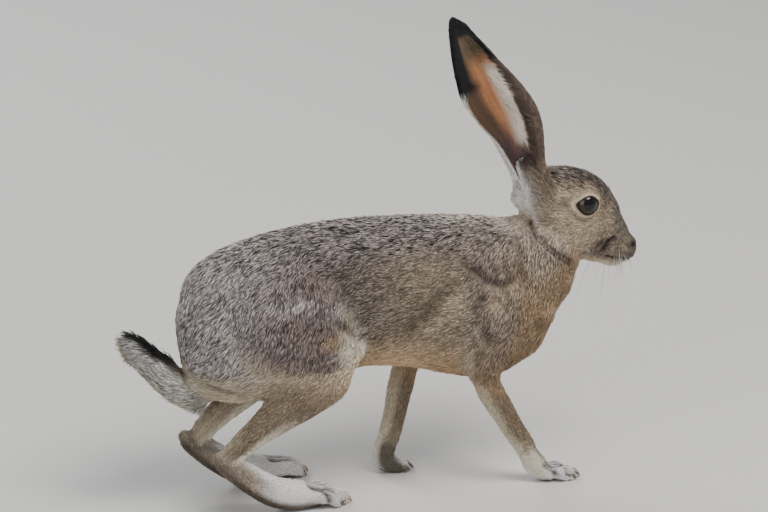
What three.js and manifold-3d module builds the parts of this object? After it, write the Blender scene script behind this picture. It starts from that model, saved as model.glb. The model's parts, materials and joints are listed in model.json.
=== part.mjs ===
// A black-tailed hare standing on all four feet, life size, as one still model in named pieces.
// Millimetres, +X towards the nose, +Y to the animal's left, +Z up, the floor at Z = 0.
import * as THREE from "three";
import { mergeVertices } from "three/addons/utils/BufferGeometryUtils.js";
import Module from "manifold-3d";

const wasm = await Module();
wasm.setup();

// Driving sizes of the animal
const EAR_LENGTH = 168;
const EYE_RADIUS = 11.4;
const EYE_SEGMENTS = 14;
const LID_THICKNESS = 1.7;
const EYE_OPENING = { half: [9.8, 15, 8.4], ahead: 1, outwards: 16 };
const CLAW_LENGTH = 7.5;
const SKIN_GAP = 0.3;
const CAP_RINGS = 3;
const TANGENT_STEP = 0.02;
const RIGHT = -1;
const LEFT = 1;

// The body's path is laid out from a point under the loins, and this moves it to the middle of its box.
const CENTRE_SHIFT = new THREE.Vector3(4.5, 0, 0);

const FUR = { back: 0x6b5d4f, flank: 0x8a7760, belly: 0xb79a74, foot: 0xc9b899, ear: 0x7a6650 };

// A closed mesh as a solid, turned right side out.
function solid(geometry) {
  const plain = geometry.clone();
  plain.deleteAttribute("normal");
  plain.deleteAttribute("uv");
  const merged = mergeVertices(plain, 1e-4);
  const make = (triVerts) =>
    new wasm.Manifold(
      new wasm.Mesh({ numProp: 3, vertProperties: merged.attributes.position.array, triVerts }),
    );
  const faces = new Uint32Array(merged.index.array);
  const made = make(faces);
  return made.volume() < 0 ? make(faces.reverse()) : made;
}

function geometryOf(manifold) {
  const { vertProperties, triVerts, numProp, numVert } = manifold.getMesh();
  const positions = new Float32Array(numVert * 3);
  for (let i = 0; i < numVert; i++) {
    positions.set(vertProperties.subarray(i * numProp, i * numProp + 3), i * 3);
  }
  const geometry = new THREE.BufferGeometry();
  geometry.setAttribute("position", new THREE.BufferAttribute(positions, 3));
  geometry.setIndex(new THREE.BufferAttribute(triVerts, 1));
  geometry.computeVertexNormals();
  return geometry;
}

const union = (pieces) => pieces.reduce((a, b) => a.add(b));

function largest(manifold) {
  return manifold.decompose().reduce((a, b) => (a.volume() > b.volume() ? a : b));
}

// The value of a list of rows at t from 0 to 1, on a smooth curve through every row.
function blend(rows, t) {
  const place = Math.min(Math.max(t, 0), 1) * (rows.length - 1);
  const i = Math.min(Math.floor(place), rows.length - 2);
  const f = place - i;
  const at = (k) => rows[Math.min(Math.max(k, 0), rows.length - 1)];
  return rows[0].map((_, k) => {
    const [a, b, c, d] = [at(i - 1)[k], at(i)[k], at(i + 1)[k], at(i + 2)[k]];
    return b + 0.5 * f * (c - a + f * (2 * a - 5 * b + 4 * c - d + f * (3 * (b - c) + d - a)));
  });
}

// A rounded body carried along a path. A station is [x, y, z, side, fore, aft]: its centre, its half
// width along Y, and how far it reaches each way across the path, fore being the top of a body that
// runs forwards and the front of a leg that runs down. Round caps of the given lengths close its ends.
function body(stations, options) {
  const { sides = 16, rings = 14, caps = [10, 10], square = 2.2, grow = 0, side = 1 } = options;
  const ball = new THREE.SphereGeometry(1, sides, rings);
  const { position, uv } = ball.attributes;
  const capShare = CAP_RINGS / rings;
  const lateral = new THREE.Vector3(0, 1, 0);
  for (let i = 0; i < position.count; i++) {
    const v = uv.getY(i);
    const nearEnd = Math.min(v, 1 - v) / capShare;
    const t = (v - capShare) / (1 - 2 * capShare);
    const row = blend(stations, t);
    const before = new THREE.Vector3(...blend(stations, Math.max(t, 0) - TANGENT_STEP));
    const after = new THREE.Vector3(...blend(stations, Math.min(t, 1) + TANGENT_STEP));
    const along = after.sub(before).normalize();
    const up = along.clone().cross(lateral).normalize();
    const across = up.clone().cross(along);
    const capAngle = Math.min(nearEnd, 1) * (Math.PI / 2);
    const shrink = nearEnd < 1 ? Math.sin(capAngle) : 1;
    const reach = nearEnd < 1 ? Math.cos(capAngle) : 0;
    const push = v < 0.5 ? -reach * (caps[0] + grow) : reach * (caps[1] + grow);
    const turn = 2 * Math.PI * (Math.round(uv.getX(i) * sides) / sides);
    const [c, s] = [Math.cos(turn), Math.sin(turn)];
    const round = (Math.abs(c) ** square + Math.abs(s) ** square) ** (-1 / square);
    const height = s > 0 ? row[4] : row[5];
    const place = new THREE.Vector3(row[0], row[1], row[2])
      .addScaledVector(across, (row[3] + grow) * c * round * shrink)
      .addScaledVector(up, (height + grow) * s * round * shrink)
      .addScaledVector(along, push);
    position.setXYZ(i, place.x, place.y * side, place.z);
  }
  return solid(ball);
}

function ellipsoid([x, y, z], [a, b, c], tilt = 0, grow = 0, segments = 16) {
  const ball = new THREE.SphereGeometry(1, segments, Math.round(segments * 0.7));
  ball.scale(a + grow, b + grow, c + grow);
  ball.rotateY(tilt);
  ball.translate(x, y, z);
  return solid(ball);
}

function slab([x, y, z], [a, b, c], tilt = 0) {
  const box = new THREE.BoxGeometry(a, b, c);
  box.rotateY(tilt);
  box.translate(x, y, z);
  return solid(box);
}

const mirrored = ([x, y, z], side) => [x, y * side, z];

// The head is laid out along its own axis, which drops towards the nose: t along it and h above it.
const HEAD_ROOT = [150, 240];
const HEAD_DROP = 0.467;
const headPoint = (t, h, y = 0) => [
  HEAD_ROOT[0] + t * Math.cos(HEAD_DROP) + h * Math.sin(HEAD_DROP),
  y,
  HEAD_ROOT[1] - t * Math.sin(HEAD_DROP) + h * Math.cos(HEAD_DROP),
];

// Rows of [t, widest height, half width, top, bottom] from the back of the skull to the nose
const HEAD_ROWS = [
  [-26, 12.5, 19, 31, -4],
  [-12, 14.5, 24, 42, -13],
  [4, 16, 26.5, 50, -20],
  [18, 16, 27.5, 53.5, -23.5],
  [32, 13.5, 26.5, 51.5, -25],
  [46, 9.5, 23, 44.5, -25.5],
  [58, 5.5, 19.5, 35.5, -24.5],
  [70, 3, 17, 28, -21.5],
  [81, 2, 15, 22, -17],
  [91.5, 3.5, 11.5, 16.5, -9.5],
];

function headCore(grow) {
  const stations = HEAD_ROWS.map(([t, mid, wide, top, bottom]) => {
    const [x, y, z] = headPoint(t, mid);
    return [x, y, z, wide, top - mid, mid - bottom];
  });
  return body(stations, { sides: 20, rings: 18, caps: [12, 7], square: 2.1, grow });
}

// Rows of [t, h, y, length, width, height, tilt] for what swells out of the head's core
const HEAD_SWELLS = {
  cheek: [30, -5, 14.5, 25, 10, 18, 0],
  whiskerPad: [81, 2, 7.5, 14, 8.5, 10.5, 0],
  chin: [77, -12.5, 4.5, 14, 7, 7, -0.2],
};

function headSwells(grow) {
  return Object.values(HEAD_SWELLS).flatMap(([t, h, y, long, wide, high, tilt]) =>
    [RIGHT, LEFT].map((side) =>
      ellipsoid(headPoint(t, h, y * side), [long, wide, high], HEAD_DROP + tilt, grow, 10),
    ),
  );
}

const eyeCentre = (side) => headPoint(22, 30, 20.5 * side);

function eye(side, grow) {
  const radius = EYE_RADIUS + grow;
  return ellipsoid(eyeCentre(side), [radius, radius, radius], 0, 0, EYE_SEGMENTS);
}

// The lids are a shell over the eyeball with an almond opening cut straight in from the side.
function lids(side, grow) {
  const radius = EYE_RADIUS + SKIN_GAP + LID_THICKNESS + grow;
  return ellipsoid(eyeCentre(side), [radius, radius, radius], 0, 0, EYE_SEGMENTS);
}

function eyeOpening(side) {
  const [x, y, z] = eyeCentre(side);
  const centre = [x + EYE_OPENING.ahead, y + EYE_OPENING.outwards * side, z];
  return ellipsoid(centre, EYE_OPENING.half, HEAD_DROP, 0, EYE_SEGMENTS);
}

// Cuts in the muzzle: [t, h] of the middle, then length, width, height and extra tilt of a thin slab
const MOUTH = { at: [88, -5], size: [38, 60, 1.5], tilt: -0.2 };
const LIP_CLEFT = { at: [97, 2], size: [14, 1.4, 15], tilt: 0 };
const NOSTRIL = { at: [97, 10.5], apart: 4.6, half: [4.2, 1.3, 3.2], tilt: 0.5 };
const LIP_DEPTH = 1;

function muzzleSlab({ at, size, tilt }) {
  return slab(headPoint(...at), size, HEAD_DROP + tilt);
}

// The mouth line and the cleft are only skin deep, and the nostrils are small hollows.
function mouthAndNose() {
  const inner = body(
    HEAD_ROWS.map(([t, mid, wide, top, bottom]) => {
      const [x, y, z] = headPoint(t - LIP_DEPTH, mid);
      return [x, y, z, wide - LIP_DEPTH, top - mid - LIP_DEPTH, mid - bottom - LIP_DEPTH];
    }),
    { sides: 16, rings: 18, caps: [8, 5.5], square: 2.1 },
  );
  const nostrils = [RIGHT, LEFT].map((side) =>
    ellipsoid(
      headPoint(...NOSTRIL.at, NOSTRIL.apart * side),
      NOSTRIL.half,
      HEAD_DROP + NOSTRIL.tilt,
      0,
      10,
    ),
  );
  return union([muzzleSlab(MOUTH).add(muzzleSlab(LIP_CLEFT)).subtract(inner), ...nostrils]);
}

function head(grow) {
  const made = union([headCore(grow), ...headSwells(grow), lids(RIGHT, grow), lids(LEFT, grow)]);
  return grow > 0 ? made : made.subtract(union([eyeOpening(RIGHT), eyeOpening(LEFT), mouthAndNose()]));
}

// The ear is a strip bent across its length into a cup. Rows from root to tip give [share of the
// length, flat half width in front, flat half width behind, bend in front, bend behind], in degrees.
const EAR_ROWS = [
  [0, 21, 15, 270, 120],
  [0.1, 29, 15, 268, 112],
  [0.2, 40, 15.5, 266, 104],
  [0.32, 52, 17, 258, 90],
  [0.44, 55.5, 23, 235, 76],
  [0.56, 48, 25.5, 194, 64],
  [0.68, 36.5, 22, 155, 56],
  [0.8, 24, 16.8, 120, 50],
  [0.9, 14.5, 11, 92, 44],
  [0.96, 8.5, 7, 84, 40],
  [1, 3, 3, 80, 40],
];
const EAR_THICKNESS = 2.4;
const EAR_ROOT = [137, 18, 277];
const EAR_LEAN = { [RIGHT]: [-0.445, 0.03, 0.89], [LEFT]: [-0.425, 0.005, 0.905] };
const EAR_OPEN = [-0.22, 1, -0.05];
const EAR_SETBACK = 8;
const EAR_STEPS = 100;
const EAR_COLUMN_SHARES = [0.3, 0.52, 0.69, 0.82, 0.92, 1];
const EAR_ROWS_DRAWN = 17;
const EAR_CURL = 2.6;
const EAR_NICK = { along: 0.66, back: 25.5, size: [6.5, 30, 8] };

// The section curve at one height: points [forward, outward] and the way each faces.
function earSection(row) {
  const [, front, back, bendFront, bendBack] = row;
  const half = (wide, bend, sign) => {
    const points = [];
    let [p, o] = [0, 0];
    for (let k = 0; k < EAR_STEPS; k++) {
      const angle = THREE.MathUtils.degToRad(bend) * ((k + 0.5) / EAR_STEPS) ** EAR_CURL;
      p += (Math.cos(angle) * wide) / EAR_STEPS;
      o += (Math.sin(angle) * wide) / EAR_STEPS;
      points.push([p * sign, o, angle * sign]);
    }
    return EAR_COLUMN_SHARES.map((share) => points[Math.round(share * EAR_STEPS) - 1]);
  };
  return [...half(back, bendBack, -1).reverse(), [0, 0, 0], ...half(front, bendFront, 1)];
}

// The ear's own directions: up its length, out of its opening, and towards its front edge
function earFrame(side) {
  const lean = new THREE.Vector3(...mirrored(EAR_LEAN[side], side)).normalize();
  const open = new THREE.Vector3(...mirrored(EAR_OPEN, side));
  open.addScaledVector(lean, -open.dot(lean)).normalize();
  const forward = open.clone().cross(lean).multiplyScalar(side);
  const root = new THREE.Vector3(...mirrored(EAR_ROOT, side));
  return (share, ahead, out) =>
    root
      .clone()
      .addScaledVector(lean, share * EAR_LENGTH)
      .addScaledVector(forward, ahead)
      .addScaledVector(open, out - EAR_SETBACK);
}

function earShell(side, grow) {
  const place = earFrame(side);
  const positions = [];
  const columns = 2 * EAR_COLUMN_SHARES.length + 1;
  for (const face of [0, 1]) {
    for (let i = 0; i <= EAR_ROWS_DRAWN; i++) {
      const row = blend(EAR_ROWS, i / EAR_ROWS_DRAWN);
      const thick = (EAR_THICKNESS * (1.15 - 0.65 * row[0])) / 2 + grow;
      for (const [p, o, angle] of earSection(row)) {
        const inward = face ? thick : -thick;
        const [across, deep] = [Math.sin(angle) * inward, Math.cos(angle) * inward];
        const point = place(row[0], p - across, o + deep);
        positions.push(...point.toArray());
      }
    }
  }
  const index = [];
  const at = (face, i, j) => (face * (EAR_ROWS_DRAWN + 1) + i) * columns + j;
  const quad = (a, b, c, d) => index.push(a, b, c, a, c, d);
  for (let i = 0; i < EAR_ROWS_DRAWN; i++) {
    for (let j = 0; j < columns - 1; j++) {
      quad(at(0, i, j), at(0, i, j + 1), at(0, i + 1, j + 1), at(0, i + 1, j));
      index.push(at(1, i, j), at(1, i + 1, j + 1), at(1, i, j + 1));
      index.push(at(1, i, j), at(1, i + 1, j), at(1, i + 1, j + 1));
    }
    quad(at(0, i, 0), at(0, i + 1, 0), at(1, i + 1, 0), at(1, i, 0));
    const j = columns - 1;
    quad(at(0, i, j), at(1, i, j), at(1, i + 1, j), at(0, i + 1, j));
  }
  for (let j = 0; j < columns - 1; j++) {
    quad(at(0, 0, j), at(1, 0, j), at(1, 0, j + 1), at(0, 0, j + 1));
    const i = EAR_ROWS_DRAWN;
    quad(at(0, i, j), at(0, i, j + 1), at(1, i, j + 1), at(1, i, j));
  }
  const strip = new THREE.BufferGeometry();
  strip.setAttribute("position", new THREE.Float32BufferAttribute(positions, 3));
  strip.setIndex(index);
  return solid(strip);
}

// The furred root that the cup stands on
const EAR_BUTT = [
  [150, 15, 250, 11, 16.5, 15],
  [143, 16.5, 264, 12, 16, 17],
  [137, 17, 277, 12, 13.5, 18],
  [132, 15.5, 288, 10, 12, 19],
  [127.5, 14, 297, 7, 11, 18],
];

function ear(side, grow) {
  const butt = body(EAR_BUTT, { sides: 14, rings: 11, caps: [8, 7], square: 2, grow, side });
  const whole = butt.add(earShell(side, grow));
  if (side === LEFT || grow > 0) return whole;
  const nick = earFrame(side)(EAR_NICK.along, -EAR_NICK.back, 0);
  return whole.subtract(ellipsoid(nick.toArray(), EAR_NICK.size, -0.45, 0, 12));
}

// The trunk in rows of [x, top, bottom, half width], from rump to breast
const TRUNK_ROWS = [
  [-181, 199, 110, 30],
  [-169, 219, 97, 43],
  [-150, 235, 92, 51],
  [-125, 246.5, 95, 55],
  [-95, 254.5, 104, 55],
  [-60, 259, 112, 53],
  [-25, 260, 116, 52],
  [10, 258.5, 113, 51],
  [45, 256, 106, 50],
  [75, 252.5, 97, 48],
  [100, 246, 92, 44],
  [123, 232, 95, 38],
  [143, 207, 107, 30],
];
const WIDEST_SHARE = 0.46;

function trunk(grow) {
  const stations = TRUNK_ROWS.map(([x, top, bottom, wide]) => {
    const mid = bottom + (top - bottom) * WIDEST_SHARE;
    return [x, 0, mid, wide, top - mid, mid - bottom];
  });
  return body(stations, { sides: 22, rings: 24, caps: [12, 17], square: 2.15, grow });
}

const NECK = [
  [76, 0, 180, 42, 62, 66],
  [104, 0, 189, 42, 58, 67],
  [130, 0, 203, 36, 47, 61],
  [150, 0, 216, 29, 36, 52],
  [164, 0, 226, 24, 28, 38],
];

function torso(grow) {
  return trunk(grow).add(body(NECK, { sides: 20, rings: 14, caps: [12, 8], grow }));
}

// Planes across the torso, each through a point and turned about a level line across the body
const RUMP_PLANE = { x: -78, z: 180, tilt: 0 };
const LOIN_PLANE = { x: 32, z: 180, tilt: 0 };
const COLLAR_PLANE = { x: 126, z: 190, tilt: -0.5 };

// Everything ahead of such a plane, or behind it.
function ahead({ x, z, tilt }, facing, grow) {
  const reach = 400;
  const away = facing * (reach / 2 - grow);
  const centre = [x + away * Math.cos(tilt), 0, z - away * Math.sin(tilt)];
  return slab(centre, [reach, reach, 2 * reach], tilt);
}

function torsoPart(from, to, grow) {
  const start = from ? torso(grow).intersect(ahead(from, 1, grow)) : torso(grow);
  return to ? start.intersect(ahead(to, -1, grow)) : start;
}

const THIGH = [
  [-150, 32, 203, 15, 21, 22],
  [-134, 37, 194, 25, 45, 42],
  [-110, 40, 181, 28, 57, 52],
  [-82, 42, 165, 26, 48, 44],
  [-58, 43, 151, 21, 33, 31],
  [-45, 44, 144, 15, 22, 21],
];

const SHANK = [
  [-50, 43, 144, 12, 16, 16],
  [-66, 43, 130, 18, 30, 30],
  [-90, 41, 112, 16.5, 28, 27],
  [-115, 39, 92, 12.5, 20, 21],
  [-136, 37.5, 75, 10, 15, 16],
  [-151, 36.5, 62.5, 9, 13, 13],
  [-160, 36, 56, 8, 11, 9.5],
];

const HIND_FOOT = [
  [-167, 36, 60, 6.5, 7, 7],
  [-161, 36, 53, 8.5, 12, 10.5],
  [-149, 36, 42.5, 10, 16, 12],
  [-134, 35, 30, 11.5, 16.5, 12.5],
  [-116, 34, 19, 12.5, 16.5, 14.5],
  [-98, 33, 13.5, 14, 16, 15],
  [-82, 32, 12, 15, 13.5, 13],
  [-72, 31, 10, 13, 11, 11],
];

// Toes in [start offset across, end offset across, end reach, thickness], from the inner one outwards
const HIND_TOES = [
  [-9, -11, 17, 6],
  [-3.2, -4, 23, 6.6],
  [3.4, 4, 22.5, 6.6],
  [9.4, 12, 12, 6],
];
const FORE_TOES = [
  [-7.6, -9, 6.5, 4.8],
  [-2.6, -3.4, 11.5, 5.4],
  [2.8, 3.4, 11, 5.4],
  [7.8, 9.4, 5.5, 5],
];

// Where the toes of a foot root, measured from its own middle, and how high they are there
const HIND_TOE_ROOT = { x: -82, y: 31.5, z: 12 };
const FORE_TOE_ROOT = { x: 0, y: 0, z: 8 };

// How high a toe's end is held over the floor, as a share of its own thickness
const TIP_RISE = 0.88;

// One toe arches up at its knuckle and comes down to the floor at its tip.
function toePath(root, [from, to, reach, thick]) {
  const at = (share, height) => [
    root.x + 4 + (reach + 8) * share,
    root.y + from + (to - from) * share,
    height,
  ];
  const knuckle = root.z + 3;
  return [
    [...at(-0.25, root.z - 1), thick, thick, thick],
    [...at(0.2, knuckle), thick, thick, thick + 4],
    [...at(0.62, knuckle - 3.5), thick, thick, thick + 3],
    [...at(1, thick * TIP_RISE), thick * 0.72, thick * 0.7, thick],
  ];
}

// Rows moved, and turned about an upright line by an angle that swings their front end outwards.
function placed(rows, { x = 0, y = 0, turn = 0, about = [0, 0] }) {
  const [c, s] = [Math.cos(turn), Math.sin(turn)];
  return rows.map(([a, b, ...rest]) => {
    const [u, v] = [a - about[0], b - about[1]];
    return [about[0] + u * c - v * s + x, about[1] + u * s + v * c + y, ...rest];
  });
}

const HOCK = [-162, 36];
const KNEE = [-50, 43];
const THIGH_PLACE = { [RIGHT]: { x: 0 }, [LEFT]: { x: -9 } };
const SHANK_PLACE = { [RIGHT]: { x: 0 }, [LEFT]: { x: -10, turn: 0.07, about: KNEE } };
const HIND_FOOT_PLACE = {
  [RIGHT]: { x: 0, turn: -0.02, about: HOCK },
  [LEFT]: { x: -14, y: -8, turn: 0.25, about: HOCK },
};
const floorCut = () => slab([0, 0, -50], [900, 400, 100]);

function toes(root, list, place, side, grow) {
  return list.map((toe) =>
    body(placed(toePath(root, toe), place), { sides: 8, rings: 9, caps: [4, 4.5], grow, side }),
  );
}

function hindFoot(side, grow) {
  const place = HIND_FOOT_PLACE[side];
  const sole = body(placed(HIND_FOOT, place), { sides: 12, rings: 14, caps: [7, 9], grow, side });
  return union([sole, ...toes(HIND_TOE_ROOT, HIND_TOES, place, side, grow)]).subtract(floorCut());
}

// The right foreleg reaches forwards, and the left one stands under the chest.
const FORE = {
  [RIGHT]: {
    shoulder: [
      [75, 26, 225, 9, 16, 22],
      [83, 31, 208, 15, 30, 33],
      [91, 33.5, 186, 17, 40, 31],
      [93, 34, 160, 17, 36, 31],
      [89, 34, 134, 16, 26, 27],
      [83, 34, 112, 14.5, 19, 20],
    ],
    forearm: [
      [78, 34, 124, 11, 14, 14],
      [86, 33.5, 102, 12.5, 15.5, 16.5],
      [97, 32.5, 80, 11.2, 13.8, 14],
      [109, 32, 58, 10.2, 12.5, 12.3],
      [119, 31.5, 42, 10, 11.5, 11.5],
      [125, 31, 31, 9.5, 11, 11],
    ],
    foot: [
      [124, 31, 35, 9.5, 10.5, 10.5],
      [128, 31, 26, 10, 10, 11],
      [135, 31.5, 16, 11, 10.5, 13.5],
      [146, 32.5, 8.5, 12.5, 8, 11.8],
    ],
    place: { x: 146, y: 33 },
  },
  [LEFT]: {
    shoulder: [
      [80, 26, 226, 9, 16, 22],
      [81, 31, 208, 15, 32, 30],
      [78, 33.5, 186, 17, 42, 31],
      [70, 34, 160, 17, 37, 30],
      [57, 34, 134, 16, 25, 25],
      [43, 34.5, 112, 14.5, 17, 19],
    ],
    forearm: [
      [42, 34.5, 124, 11, 13, 14],
      [33, 34.5, 102, 12.5, 15, 16.5],
      [26, 33.5, 76, 11.4, 13.2, 14.5],
      [21, 33, 54, 10.7, 12.3, 13],
      [17, 32.5, 40, 10.2, 12, 12.3],
      [14, 32, 31, 10, 12, 12],
    ],
    foot: [
      [15, 32, 35, 10, 11.5, 11.5],
      [11, 32, 25, 10.5, 12, 11.5],
      [11, 32, 13.4, 11.5, 11.5, 14],
      [17, 32.5, 7, 12.5, 9, 11.3],
    ],
    place: { x: 8, y: 32.5 },
  },
};

function foreFoot(side, grow) {
  const { foot, place } = FORE[side];
  const palm = body(foot, { sides: 12, rings: 12, caps: [6, 9], grow, side });
  return union([palm, ...toes(FORE_TOE_ROOT, FORE_TOES, place, side, grow)]).subtract(floorCut());
}

// A claw curves down from the end of its toe.
function claw(root, toe, place, side, grow) {
  const [x, y, z] = toePath(root, toe)[3];
  const path = [
    [x - 1, y, z + 0.4, 1.9, 2, 2],
    [x + CLAW_LENGTH * 0.4, y, z, 1.6, 1.6, 1.7],
    [x + CLAW_LENGTH * 0.65, y, z * 0.62, 1.1, 1, 1.1],
    [x + CLAW_LENGTH * 0.8, y, z * 0.3, 0.5, 0.5, 0.5],
  ];
  return body(placed(path, place), { sides: 6, rings: 7, caps: [1, 0.6], square: 2, grow, side });
}

const TAIL = [
  [-166, 0, 105, 16, 20, 22],
  [-184, 0, 113, 17, 21, 20],
  [-200, 0, 126, 16.5, 20, 18.5],
  [-215, 0, 142, 15, 18.5, 17],
  [-229, 0, 158, 12, 14.5, 14.5],
  [-239, 0, 170, 7.5, 9.5, 9.5],
];

// Every node with its maker, in the order of carving: a node is cut back from those before it.
const makers = [];
const add = (name, colour, make) => makers.push({ name, colour, make });

for (const [side, name] of [[RIGHT, "right"], [LEFT, "left"]]) {
  add(`eye_${name}`, 0x2a1a14, (grow) => eye(side, grow));
}
add("head", FUR.flank, head);
for (const [side, name] of [[RIGHT, "right"], [LEFT, "left"]]) {
  add(`ear_${name}`, FUR.ear, (grow) => ear(side, grow));
  add(`hind_foot_${name}`, FUR.foot, (grow) => hindFoot(side, grow));
  add(`forefoot_${name}`, FUR.foot, (grow) => foreFoot(side, grow));
  HIND_TOES.forEach((toe, k) => {
    const make = (grow) => claw(HIND_TOE_ROOT, toe, HIND_FOOT_PLACE[side], side, grow);
    add(`hind_claw_${name}_${k + 1}`, 0x3a3028, make);
  });
  FORE_TOES.forEach((toe, k) => {
    const make = (grow) => claw(FORE_TOE_ROOT, toe, FORE[side].place, side, grow);
    add(`fore_claw_${name}_${k + 1}`, 0x3a3028, make);
  });
  const thigh = placed(THIGH, THIGH_PLACE[side]);
  add(`thigh_${name}`, FUR.flank, (grow) =>
    body(thigh, { sides: 18, rings: 14, caps: [16, 12], grow, side }),
  );
  const { shoulder, forearm } = FORE[side];
  add(`shoulder_${name}`, FUR.flank, (grow) =>
    body(shoulder, { sides: 16, rings: 14, caps: [12, 10], grow, side }),
  );
  const shank = placed(SHANK, SHANK_PLACE[side]);
  add(`shank_${name}`, FUR.flank, (grow) => body(shank, { rings: 14, caps: [12, 5], grow, side }));
  add(`forearm_${name}`, FUR.belly, (grow) =>
    body(forearm, { sides: 14, rings: 12, caps: [8, 4], grow, side }),
  );
}
add("chest", FUR.flank, (grow) => torsoPart(LOIN_PLANE, COLLAR_PLANE, grow));
add("belly", FUR.belly, (grow) => torsoPart(RUMP_PLANE, LOIN_PLANE, grow));
add("rump", FUR.back, (grow) => torsoPart(null, RUMP_PLANE, grow));
add("neck", FUR.back, (grow) => torsoPart(COLLAR_PLANE, null, grow));
add("tail", FUR.back, (grow) => body(TAIL, { sides: 16, rings: 14, caps: [10, 8], grow }));

const hare = new THREE.Group();
const boxOf = (manifold) => {
  const { min, max } = manifold.boundingBox();
  return new THREE.Box3(new THREE.Vector3(...min), new THREE.Vector3(...max));
};
const earlier = [];
for (const { name, colour, make } of makers) {
  let piece = make(0);
  for (const other of earlier) {
    if (other.box.intersectsBox(boxOf(piece))) piece = piece.subtract(other.grown);
  }
  const grown = make(SKIN_GAP);
  earlier.push({ grown, box: boxOf(grown) });
  const fur = new THREE.MeshStandardMaterial({ color: colour, roughness: 0.9, metalness: 0 });
  const mesh = new THREE.Mesh(geometryOf(largest(piece)), fur);
  mesh.name = name;
  mesh.position.copy(CENTRE_SHIFT);
  hare.add(mesh);
}

export default hare;
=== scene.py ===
# %% [markdown]
# # A black-tailed jackrabbit, dressed in its coat
# The solid model gives the true outline of the animal, out to the tips of its hair.
# This lesson puts a skin inside that outline, a coat of small solid tufts over the skin,
# and then the ears, eyes, claws and whiskers. Every size below is in millimetres until a
# mesh is made, and `SHIFT` moves the animal to the middle of its box, as in the solid model.

# %% Load the frame
import json
import math
import bmesh
import bpy
import numpy as np
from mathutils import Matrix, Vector

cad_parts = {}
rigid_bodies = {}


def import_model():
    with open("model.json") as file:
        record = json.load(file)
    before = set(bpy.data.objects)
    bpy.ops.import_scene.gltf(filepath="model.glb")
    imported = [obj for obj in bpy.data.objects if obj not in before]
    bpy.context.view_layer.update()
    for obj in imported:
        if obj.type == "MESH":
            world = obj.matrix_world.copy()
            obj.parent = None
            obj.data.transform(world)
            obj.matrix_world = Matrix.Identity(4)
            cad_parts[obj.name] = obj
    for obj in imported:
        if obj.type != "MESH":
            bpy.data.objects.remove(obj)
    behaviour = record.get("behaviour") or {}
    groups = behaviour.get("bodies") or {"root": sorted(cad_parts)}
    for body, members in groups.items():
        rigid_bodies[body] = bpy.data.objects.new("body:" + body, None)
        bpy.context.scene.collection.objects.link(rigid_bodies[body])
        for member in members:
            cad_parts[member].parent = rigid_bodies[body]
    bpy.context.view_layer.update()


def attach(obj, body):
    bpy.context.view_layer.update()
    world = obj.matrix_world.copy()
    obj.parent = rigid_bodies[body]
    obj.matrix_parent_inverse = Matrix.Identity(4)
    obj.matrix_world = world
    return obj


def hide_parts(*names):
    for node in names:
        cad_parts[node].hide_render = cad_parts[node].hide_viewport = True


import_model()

# %% Shared measures
MM = 0.001
SHIFT = np.array([4.5, 0.0, 0.0])
RIGHT, LEFT = -1, 1
SIDES = {"right": RIGHT, "left": LEFT}
rng = np.random.default_rng(7)


def unit(v):
    """Each vector divided by its own length."""
    return v / np.maximum(np.linalg.norm(v, axis=-1, keepdims=True), 1e-9)


def dot(a, b):
    """The dot product of each pair of rows."""
    return np.einsum("ij,ij->i", a, b)


def smooth_step(low, high, value):
    """0 below low, 1 above high, and a smooth cubic rise between them."""
    t = np.clip((value - low) / (high - low), 0, 1)
    return t * t * (3 - 2 * t)


# %% [markdown]
# ## Bodies carried along a path
# A leg, a neck or a trunk is a rounded section that changes as it travels along a curved
# path. Each row gives a centre, a half width, and how far the section reaches to each
# side of the path. A smooth curve through the rows gives every section in between.

# %% The shape functions
TANGENT_STEP = 0.02


def rows_at(rows, t):
    """The rows' values at t from 0 to 1, on a Catmull-Rom curve that passes through each row."""
    rows = np.asarray(rows, float)
    place = np.clip(t, 0, 1) * (len(rows) - 1)
    i = np.minimum(place.astype(int), len(rows) - 2)
    f = (place - i)[..., None]
    a, b, c, d = (rows[np.clip(i + k, 0, len(rows) - 1)] for k in (-1, 0, 1, 2))
    return b + 0.5 * f * (c - a + f * (2 * a - 5 * b + 4 * c - d + f * (3 * (b - c) + d - a)))


def path_frame(stations, t):
    """At t: the row, and the unit vectors along the path, up from it and across it."""
    row = rows_at(stations, t)
    before = rows_at(stations, np.clip(t, 0, 1) - TANGENT_STEP)
    after = rows_at(stations, np.clip(t, 0, 1) + TANGENT_STEP)
    along = unit((after - before)[:, :3])
    up = unit(np.cross(along, [0.0, 1.0, 0.0]))
    return row, along, up, np.cross(up, along)


def loft(stations, caps=(10, 10), square=2.2, depth=(0, 0), side=LEFT, around=40, steps=48, domes=8):
    """Points and faces of a body. At t along the path the section is the curve
    |x|^square + |y|^square = 1, stretched by the row's reach less the coat's depth, and each
    end closes in a quarter of an ellipse of its cap's length."""
    bend = np.linspace(0, math.pi / 2, domes + 1)[:-1]
    t = np.concatenate([np.zeros(domes), np.linspace(0, 1, steps), np.ones(domes)])
    shrink = np.concatenate([np.sin(bend), np.ones(steps), np.sin(bend)[::-1]])
    push = np.concatenate([-np.cos(bend) * (caps[0] - depth[0]), np.zeros(steps),
                           np.cos(bend)[::-1] * (caps[1] - depth[1])])
    row, along, up, across = path_frame(stations, t)
    inset = depth[0] + (depth[1] - depth[0]) * t
    turn = np.linspace(0, 2 * math.pi, around, endpoint=False)
    c, s = np.cos(turn), np.sin(turn)
    round_ = (abs(c) ** square + abs(s) ** square) ** (-1 / square)
    wide = (row[:, 3] - inset) * shrink
    reach = np.where(s[None] > 0, (row[:, 4] - inset)[:, None], (row[:, 5] - inset)[:, None])
    grid = (row[:, None, :3] + along[:, None] * push[:, None, None]
            + across[:, None] * (wide[:, None] * c * round_)[..., None]
            + up[:, None] * (reach * shrink[:, None] * s * round_)[..., None])
    return closed_grid(grid * [1, side, 1])


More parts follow.
